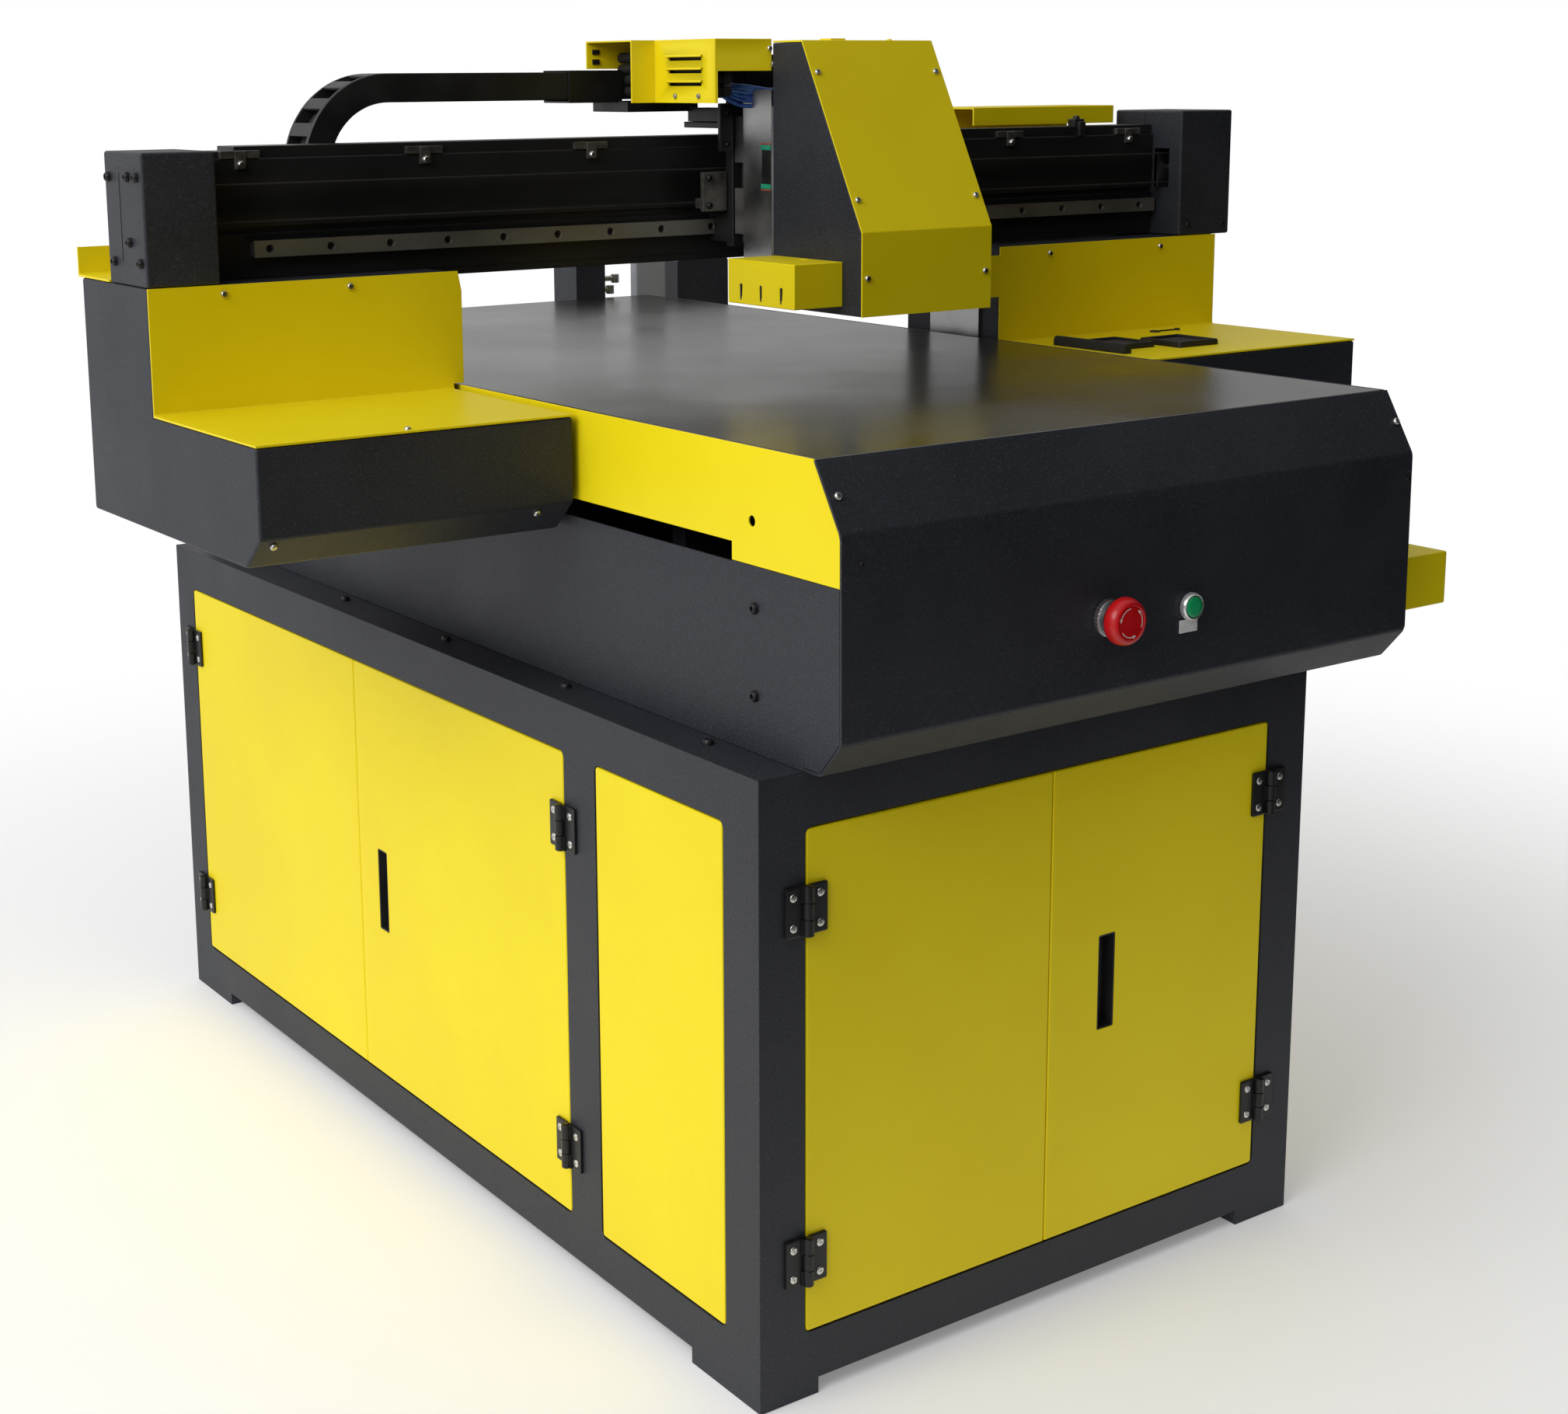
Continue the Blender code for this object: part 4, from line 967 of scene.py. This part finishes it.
for wall, seam, low, high in ((end_left[0][0], -0.004, 0.905, 0.981), (end_right[0][0], 0.002, 0.882, 1.013)):
    eased(mesh, (wall - 0.0004, seam - 0.0005, low), (wall + 0.001, seam + 0.0005, high), 0.0002)
eased(mesh, (end_left[0][0] - 0.0004, -0.040, 0.9845), (end_left[0][0] + 0.001, 0.008, 0.9853), 0.0002)
piece("end_box_seams", mesh, moulded_black, "gantry", "black_plastic")

low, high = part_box("x_belt")
radius_out = (high[2] - low[2]) / 2
middle_z = (high[2] + low[2]) / 2
left_x, right_x = low[0] + radius_out, high[0] - radius_out
mesh = bmesh.new()
tooth = 0.0025
flat = int((right_x - left_x) / tooth)
curve_steps = 20
outer, inner = [], []
for near, far, up in ((left_x, right_x, 1), (right_x, left_x, -1)):
    for step in range(flat):
        x = near + (far - near) * step / flat
        outer.append((x, middle_z + up * radius_out))
        inner.append((x, middle_z + up * (radius_out - (0.0014 if step % 2 else 0.0009))))
    for step in range(curve_steps):
        angle = math.radians(90 * up - 180 * step / curve_steps)
        for loop, reach in ((outer, radius_out), (inner, radius_out - 0.0012)):
            loop.append((far + reach * math.cos(angle), middle_z + reach * math.sin(angle)))
loops = []
for points, y in ((outer, low[1]), (outer, high[1]), (inner, high[1]), (inner, low[1])):
    loops.append([mesh.verts.new((x, y, z)) for x, z in points])
skin(mesh, loops + loops[:1], capped=False)
piece("toothed_belt", mesh, black_rubber, "gantry", "rubber", "x_belt")

for node, body in (("x_idler_pulley", "idler_pulley"), ("x_drive_pulley", "drive_pulley")):
    low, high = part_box(node)
    centre = Vector(((low[0] + high[0]) / 2, low[1], (low[2] + high[2]) / 2))
    long = high[1] - low[1]
    mesh = bmesh.new()
    flange = (high[0] - low[0]) / 2
    turned(mesh, centre, (0, 1, 0), [
        (flange - 0.001, 0), (flange, 0.0006), (flange, 0.0016), (flange - 0.003, 0.0022),
        (0.0040, 0.0022), (0.0040, 0),
    ], 40, closed=True)
    turned(mesh, centre + Vector((0, 0.0022, 0)), (0, 1, 0), [
        (0.0152, 0), (0.0152, long - 0.003), (0.0040, long - 0.003), (0.0040, 0),
    ], closed=True, teeth=20, bite=0.0014)
    piece(node + "_turned", mesh, bare_aluminium, body, "aluminium", node)

body_mesh, end_mesh = bmesh.new(), bmesh.new()
low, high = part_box("x_motor")
motor(body_mesh, end_mesh, (low[0], -0.010, low[2]), (high[0], high[1], high[2]), 1)
middle = ((low[0] + high[0]) / 2, -0.042, (low[2] + high[2]) / 2)
turned(end_mesh, middle, (0, 1, 0), [(0.0032, 0), (0.0035, 0.0004), (0.0035, 0.034)], 20)
piece("x_motor_body", body_mesh, black_steel, "gantry", "black_metal", "x_motor")
piece("x_motor_ends", end_mesh, bare_aluminium, "gantry", "aluminium")


# ------------------------------------------------------------------ chain tray and cable chain
# A yellow sheet tray behind the beam carries the lower run of the cable chain. The chain is moulded black
# links on pins, each with two side plates and two cross bars, and the cables and ink lines inside it.

piece("chain_tray_sheet", softened("chain_tray", 0.0015), yellow_coat, "gantry", "yellow_coat", "chain_tray")
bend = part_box("chain_bend")
chain_low, chain_top = bend[0][2], bend[1][2]
thick = 0.027
radius = (chain_top - chain_low) / 2 - thick / 2
turn_x = bend[0][0] + (chain_top - chain_low) / 2
turn_z = (chain_top + chain_low) / 2
upper_end, lower_end = 0.040, 0.023
pitch = 0.0245


def chain_place(distance):
    """Place on the chain's middle line, and the way it runs, at a distance back from its upper end."""
    straight = upper_end - turn_x
    if distance < straight:
        return Vector((upper_end - distance, 0, turn_z + radius)), 0.0
    angle = (distance - straight) / radius
    if angle < math.pi:
        return Vector((turn_x - radius * math.sin(angle), 0, turn_z + radius * math.cos(angle))), angle
    along = distance - straight - math.pi * radius
    return Vector((turn_x + along, 0, turn_z - radius)), math.pi


def chain_bars(mesh, distance):
    """One link's two cross bars and its pin disc on each side."""
    middle, angle = chain_place(distance + pitch / 2)
    place = Matrix.Translation((middle.x, centre_y, middle.z)) @ Matrix.Rotation(-angle, 4, "Y")
    for face in (-1, 1):
        made = bmesh.ops.create_cube(mesh, size=1.0)["verts"]
        bmesh.ops.scale(mesh, verts=made, vec=(0.0135, 2 * half - 0.0060, 0.0030))
        bmesh.ops.translate(mesh, verts=made, vec=(0, 0, face * (thick / 2 - 0.0016)))
        lines = list({line for vert in made for line in vert.link_edges})
        shaped = bmesh.ops.bevel(mesh, geom=lines, offset=0.0008, segments=2, profile=0.5, affect="EDGES")
        bmesh.ops.transform(mesh, matrix=place, verts=shaped["verts"])
    for side in (-1, 1):
        disc_at = place @ Vector((pitch / 2, side * (half - 0.0030), 0))
        turned(mesh, disc_at, (0, side, 0), [(0.0105, 0), (0.0105, 0.0024), (0.0098, 0.0029)], 20)


def chain_sides(mesh):
    """The overlapping side plates, which read as one smooth band along each side of the chain."""
    steps = 4 * links_in_chain
    for side in (-1, 1):
        rings = []
        for step in range(steps + 1):
            middle, angle = chain_place(whole * step / steps)
            place = Matrix.Translation((middle.x, centre_y, middle.z)) @ Matrix.Rotation(-angle, 4, "Y")
            edge = thick / 2
            waist = 0.0003 if step % 4 == 0 else 0.0
            section = [
                (half - waist - 0.0008, -edge), (half - waist, -edge + 0.0008), (half - waist, edge - 0.0008),
                (half - waist - 0.0008, edge), (half - 0.0040, edge), (half - 0.0040, -edge),
            ]
            points = [place @ Vector((0, side * out_to, up_to)) for out_to, up_to in section]
            rings.append([mesh.verts.new(point) for point in points])
        skin(mesh, rings)


mesh = bmesh.new()
centre_y = (bend[0][1] + bend[1][1]) / 2
half = (bend[1][1] - bend[0][1]) / 2
whole = (upper_end - turn_x) + math.pi * radius + (lower_end - turn_x)
links_in_chain = int(whole / pitch)
for index in range(links_in_chain):
    chain_bars(mesh, index * whole / links_in_chain)
chain_sides(mesh)
piece("chain_links", mesh, moulded_black, "travelling_chain", "black_plastic", "chain_bend")


def hose(mesh, points, radius, sides=10):
    """A round hose along a smooth path, added to a mesh."""
    rings = []
    for index, point in enumerate(points):
        after = points[min(index + 1, len(points) - 1)]
        before = points[max(index - 1, 0)]
        frame_turn = (after - before).to_track_quat("Z", "Y").to_matrix()
        ring = []
        for step in range(sides):
            angle = math.tau * step / sides
            out_to = Vector((radius * math.cos(angle), radius * math.sin(angle), 0))
            ring.append(mesh.verts.new(point + frame_turn @ out_to))
        rings.append(ring)
    skin(mesh, rings)


mesh = bmesh.new()
for across, size in ((-0.012, 0.0045), (-0.002, 0.0035), (0.0065, 0.0045), (0.0145, 0.0030)):
    points = []
    for step in range(91):
        at, angle = chain_place((whole - 0.004) * step / 90 + 0.002)
        points.append(Vector((at.x, centre_y + across, at.z)))
    hose(mesh, points, size)
piece("chain_cables", mesh, black_rubber, "travelling_chain", "rubber")
mesh = softened("chain_lower", 0.0006, 0.0003)
piece("chain_guide", mesh, moulded_black, "gantry", "black_plastic", "chain_lower")
mesh = softened("chain_upper", 0.0006, 0.0003)
piece("chain_bracket", mesh, black_steel, "carriage", "black_metal", "chain_upper")


# ------------------------------------------------------------------ the carriage
# A black anodised, milled plate on two bearing blocks, with the belt clamp, the duct's bracket and the lift
# motor. The lift blocks' green end seals show at the left, on the head's side.

mesh = softened("carriage_plate", 0.0010)
piece("carriage_milled", mesh, black_anodised, "carriage", "black_metal", "carriage_plate")
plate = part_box("carriage_plate")
mesh, bolts = bmesh.new(), bmesh.new()
clamp = bmesh.new()
eased(clamp, (plate[0][0] - 0.030, -0.0480, 0.9270), (plate[0][0] - 0.001, -0.0420, 0.9660), 0.0012)
eased(clamp, (plate[0][0] - 0.030, -0.0430, 0.9300), (plate[0][0] - 0.012, -0.0330, 0.9400), 0.0010)
eased(mesh, (plate[0][0] - 0.0180, -0.0610, 0.9860), (plate[0][0] - 0.0025, -0.0560, 1.0330), 0.0010)
eased(mesh, (plate[0][0] - 0.0060, -0.0562, 0.9900), (plate[0][0] + 0.0005, -0.0520, 1.0290), 0.0008)
for z in (0.9330, 0.9600):
    screw(bolts, (plate[0][0] - 0.023, -0.0480, z), (0, -1, 0), 0.0070, 0.0034, cross=False)
for z in (0.9930, 1.0240):
    screw(bolts, (plate[0][0] - 0.010, -0.0610, z), (0, -1, 0), 0.0062, 0.0030, cross=False)
for x in (-0.030, 0.010, 0.058, 0.090):
    for z in (0.903, 0.918):
        screw(bolts, (x, -0.0560, z), (0, -1, 0), 0.0075, 0.0040, cross=False)
piece("belt_clamp", clamp, clip_steel, "carriage", "black_metal")
piece("duct_bracket", mesh, black_steel, "carriage", "black_metal")
piece("carriage_bolts", bolts, black_steel, "carriage", "black_metal")
body_mesh, end_mesh = bmesh.new(), bmesh.new()
low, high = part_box("z_motor")
motor(body_mesh, end_mesh, low, high, 2)
piece("lift_motor_body", body_mesh, black_steel, "carriage", "black_metal", "z_motor")
piece("lift_motor_ends", end_mesh, bare_aluminium, "carriage", "aluminium")

seal_green = finish("green_seal", ((0.010, 0.26, 0.14), (0.016, 0.32, 0.18)), 120, (0.40, 0.52))
seal_red = finish("red_wiper", ((0.34, 0.05, 0.03), (0.40, 0.07, 0.04)), 120, (0.50, 0.60))
mesh, greens, reds = bmesh.new(), bmesh.new(), bmesh.new()
cheek_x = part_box("head_frame")[0][0]
eased(mesh, (cheek_x - 0.0010, -0.1250, 0.9540), (cheek_x + 0.0030, -0.1110, 0.9890), 0.0008)
for z in (0.9510, 0.9885):
    eased(greens, (cheek_x - 0.0012, -0.1252, z), (cheek_x + 0.0030, -0.1095, z + 0.0050), 0.0006)
for z in (0.9494, 0.9937):
    eased(reds, (cheek_x - 0.0008, -0.1252, z), (cheek_x + 0.0030, -0.1095, z + 0.0014), 0.0003)
piece("lift_block", mesh, black_steel, "head", "black_metal")
piece("lift_block_seals", greens, seal_green, "head", "green_plastic")
piece("lift_block_wipers", reds, seal_red, "head", "red_plastic")


# ------------------------------------------------------------------ top duct
# A yellow sheet duct brings the chain's cables over to the head. Its left wall has three pressed louvres and
# two screws, and its open end shows the tie slots in the rear wall.

piece("duct_sheet", softened("top_duct", 0.0012), yellow_coat, "carriage", "yellow_coat", "top_duct")
mesh, heads, tie_slot_shade = bmesh.new(), bmesh.new(), bmesh.new()
wall_x = -0.118
for z in (1.050, 1.062, 1.074):
    rings = []
    for step in range(5):
        angle = math.radians(90 * step / 4)
        out_to = wall_x - 0.0005 - 0.0022 * math.sin(angle)
        height = z + 0.0058 + 0.0022 * math.cos(angle) - 0.0022
        rings.append([mesh.verts.new((out_to, y, height)) for y in (-0.106, -0.046)])
        rings[-1] += [mesh.verts.new((out_to + 0.0009, y, height - 0.0004)) for y in (-0.046, -0.106)]
    skin(mesh, rings)
for y in (-0.100, -0.060):
    screw(heads, (wall_x, y, 1.0405), (-1, 0, 0), 0.0056, 0.0020)
screw(heads, (-0.0545, -0.1270, 1.0850), (0, -1, 0), 0.0056, 0.0020)
screw(heads, (-0.0530, -0.1300, 1.0700), (-1, 0, 0), 0.0050, 0.0018)
# The tie slots are small black patches on the rear wall: painted shade for the dark behind the slots.
for z in (1.0715, 1.0810):
    eased(tie_slot_shade, (-0.139, 0.0565, z), (-0.131, 0.0585, z + 0.005), 0.0004)
piece("duct_louvres", mesh, yellow_coat, "carriage", "yellow_coat")
mesh = bmesh.new()
for column in range(2):
    for row in range(4):
        x, z = -0.109 + 0.0115 * column, 1.0440 + 0.0115 * row
        steps = (0.050, 0.010, -0.030, -0.070, -0.118)
        reach = [Vector((x, y, z + 0.001 * math.sin(40 * y + row))) for y in steps]
        hose(mesh, reach, 0.0054, 12)
piece("duct_cables", mesh, black_rubber, "carriage", "rubber")
piece("duct_screws", heads, zinc, "carriage", "steel")
piece("duct_tie_slot_shade", tie_slot_shade, moulded_black, "carriage", "black_plastic")


# ------------------------------------------------------------------ ink tubes
# Eight thin blue ink tubes leave the chain under the duct, fan out and drop behind the head. They are held by
# the chain at one end and by the head at the other.

tube_blue = finish(
    "blue_ink_tube", ((0.015, 0.075, 0.46), (0.060, 0.19, 0.66)), 60, (0.16, 0.28), grain=800, depth=0.00003
)
mesh = bmesh.new()
for index in range(8):
    share = index / 7
    sway = math.sin(2.4 * index)
    controls = [
        Vector((-0.070 - 0.012 * share, 0.046, 1.0685 + 0.003 * (index % 2))),
        Vector((-0.068 - 0.015 * share, 0.000, 1.0690 - 0.005 * (index % 2))),
        Vector((-0.064 - 0.018 * share, -0.045, 1.0590 - 0.005 * (index % 2) - 0.004 * sway)),
        Vector((-0.057 - 0.004 * share, -0.085, 1.0470 - 0.010 * share + 0.006 * sway)),
        Vector((-0.040 + 0.010 * share, -0.102, 1.0440 - 0.006 * share + 0.004 * sway)),
        Vector((-0.026 + 0.022 * share, -0.112, 1.0430 + 0.002 * sway)),
        Vector((-0.024 + 0.022 * share, -0.1165, 1.0310)),
    ]
    points = []
    for stretch in range(len(controls) - 1):
        before = controls[max(stretch - 1, 0)]
        here, after = controls[stretch], controls[stretch + 1]
        beyond = controls[min(stretch + 2, len(controls) - 1)]
        for step in range(6):
            t = step / 6
            points.append(0.5 * (
                2 * here + (after - before) * t + (2 * before - 5 * here + 4 * after - beyond) * t ** 2
                + (3 * here - before - 3 * after + beyond) * t ** 3
            ))
    points.append(controls[-1])
    hose(mesh, points, 0.0021, 10)
tubes = piece("ink_tube_fan", mesh, tube_blue, None, "blue_tube", "ink_tubes")
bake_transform(tubes)


# ------------------------------------------------------------------ the print head
# Dark sheet sides and a yellow folded cover over the top, the slant and the front, held by six screws. The
# curing lamp has its own small yellow box on the left, with three slots.

piece("head_frame_milled", softened("head_frame", 0.0008), bare_aluminium, "head", "aluminium", "head_frame")
piece("head_sides", softened("head_shell", 0.0025), dark_coat, "head", "dark_coat", "head_shell")
mesh = softened("head_cover", 0.0010, 0.0003)
piece("head_cover_sheet", mesh, yellow_coat, "head", "yellow_coat", "head_cover")
low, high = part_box("head_cover")
fall = Vector((0, -(1.092 - 0.9164), 0.0928)).normalized()
mesh = bmesh.new()
for x in (low[0] + 0.006, high[0] - 0.008):
    screw(mesh, (x, -0.1928, 1.0620), fall, 0.0064, 0.0024)
    screw(mesh, (x, -0.2546, 0.9452), fall, 0.0064, 0.0024)
    screw(mesh, (x, low[1], 0.8740), (0, -1, 0), 0.0064, 0.0024)
piece("head_cover_screws", mesh, zinc, "head", "steel")
mesh = bmesh.new()
eased(mesh, (-0.012, -0.168, 1.0905), (0.006, -0.150, 1.0938), 0.0008)
turned(mesh, (0.070, -0.155, 1.0905), (0, 0, 1), [(0.003, 0), (0.003, 0.002), (0.002, 0.003)], 16)
piece("head_top_tab", mesh, yellow_coat, "head", "yellow_coat")

piece("lamp_box", softened("uv_lamp", 0.0015), yellow_coat, "head", "yellow_coat", "uv_lamp")
low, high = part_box("uv_lamp")
mesh, plug = bmesh.new(), bmesh.new()
# The three slots are flush black patches: painted shade for the dark inside of the lamp box.
for y in (-0.220, -0.188, -0.156):
    eased(mesh, (low[0] - 0.0002, y - 0.0012, 0.8500), (low[0] + 0.0015, y + 0.0012, 0.8655), 0.0004)
knockout = [(0.0060, 0), (0.0060, 0.0007), (0.0052, 0.0009), (0.0050, 0.0002), (0.0001, 0.0002)]
turned(plug, (-0.066, -0.196, high[2] - 0.0006), (0, 0, 1), knockout, 28)
piece("lamp_slot_shade", mesh, moulded_black, "head", "black_plastic")
piece("lamp_knockout", plug, yellow_coat, "head", "yellow_coat")

mesh, faces = bmesh.new(), bmesh.new()
low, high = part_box("print_heads")
eased(mesh, (-0.014, -0.234, 0.852), (0.066, -0.166, high[2]), 0.0015)
eased(mesh, (low[0], low[1], 0.8503), (high[0], high[1], 0.856), 0.0010)
for x in (-0.012, 0.015, 0.042):
    eased(mesh, (x, -0.230, 0.8345), (x + 0.022, -0.170, 0.853), 0.0010)
    eased(faces, (x + 0.002, -0.228, low[2]), (x + 0.020, -0.172, 0.8352), 0.0004)
piece("print_head_bodies", mesh, moulded_black, "head", "black_plastic", "print_heads")
piece("nozzle_plates", faces, chrome, "head", "steel")
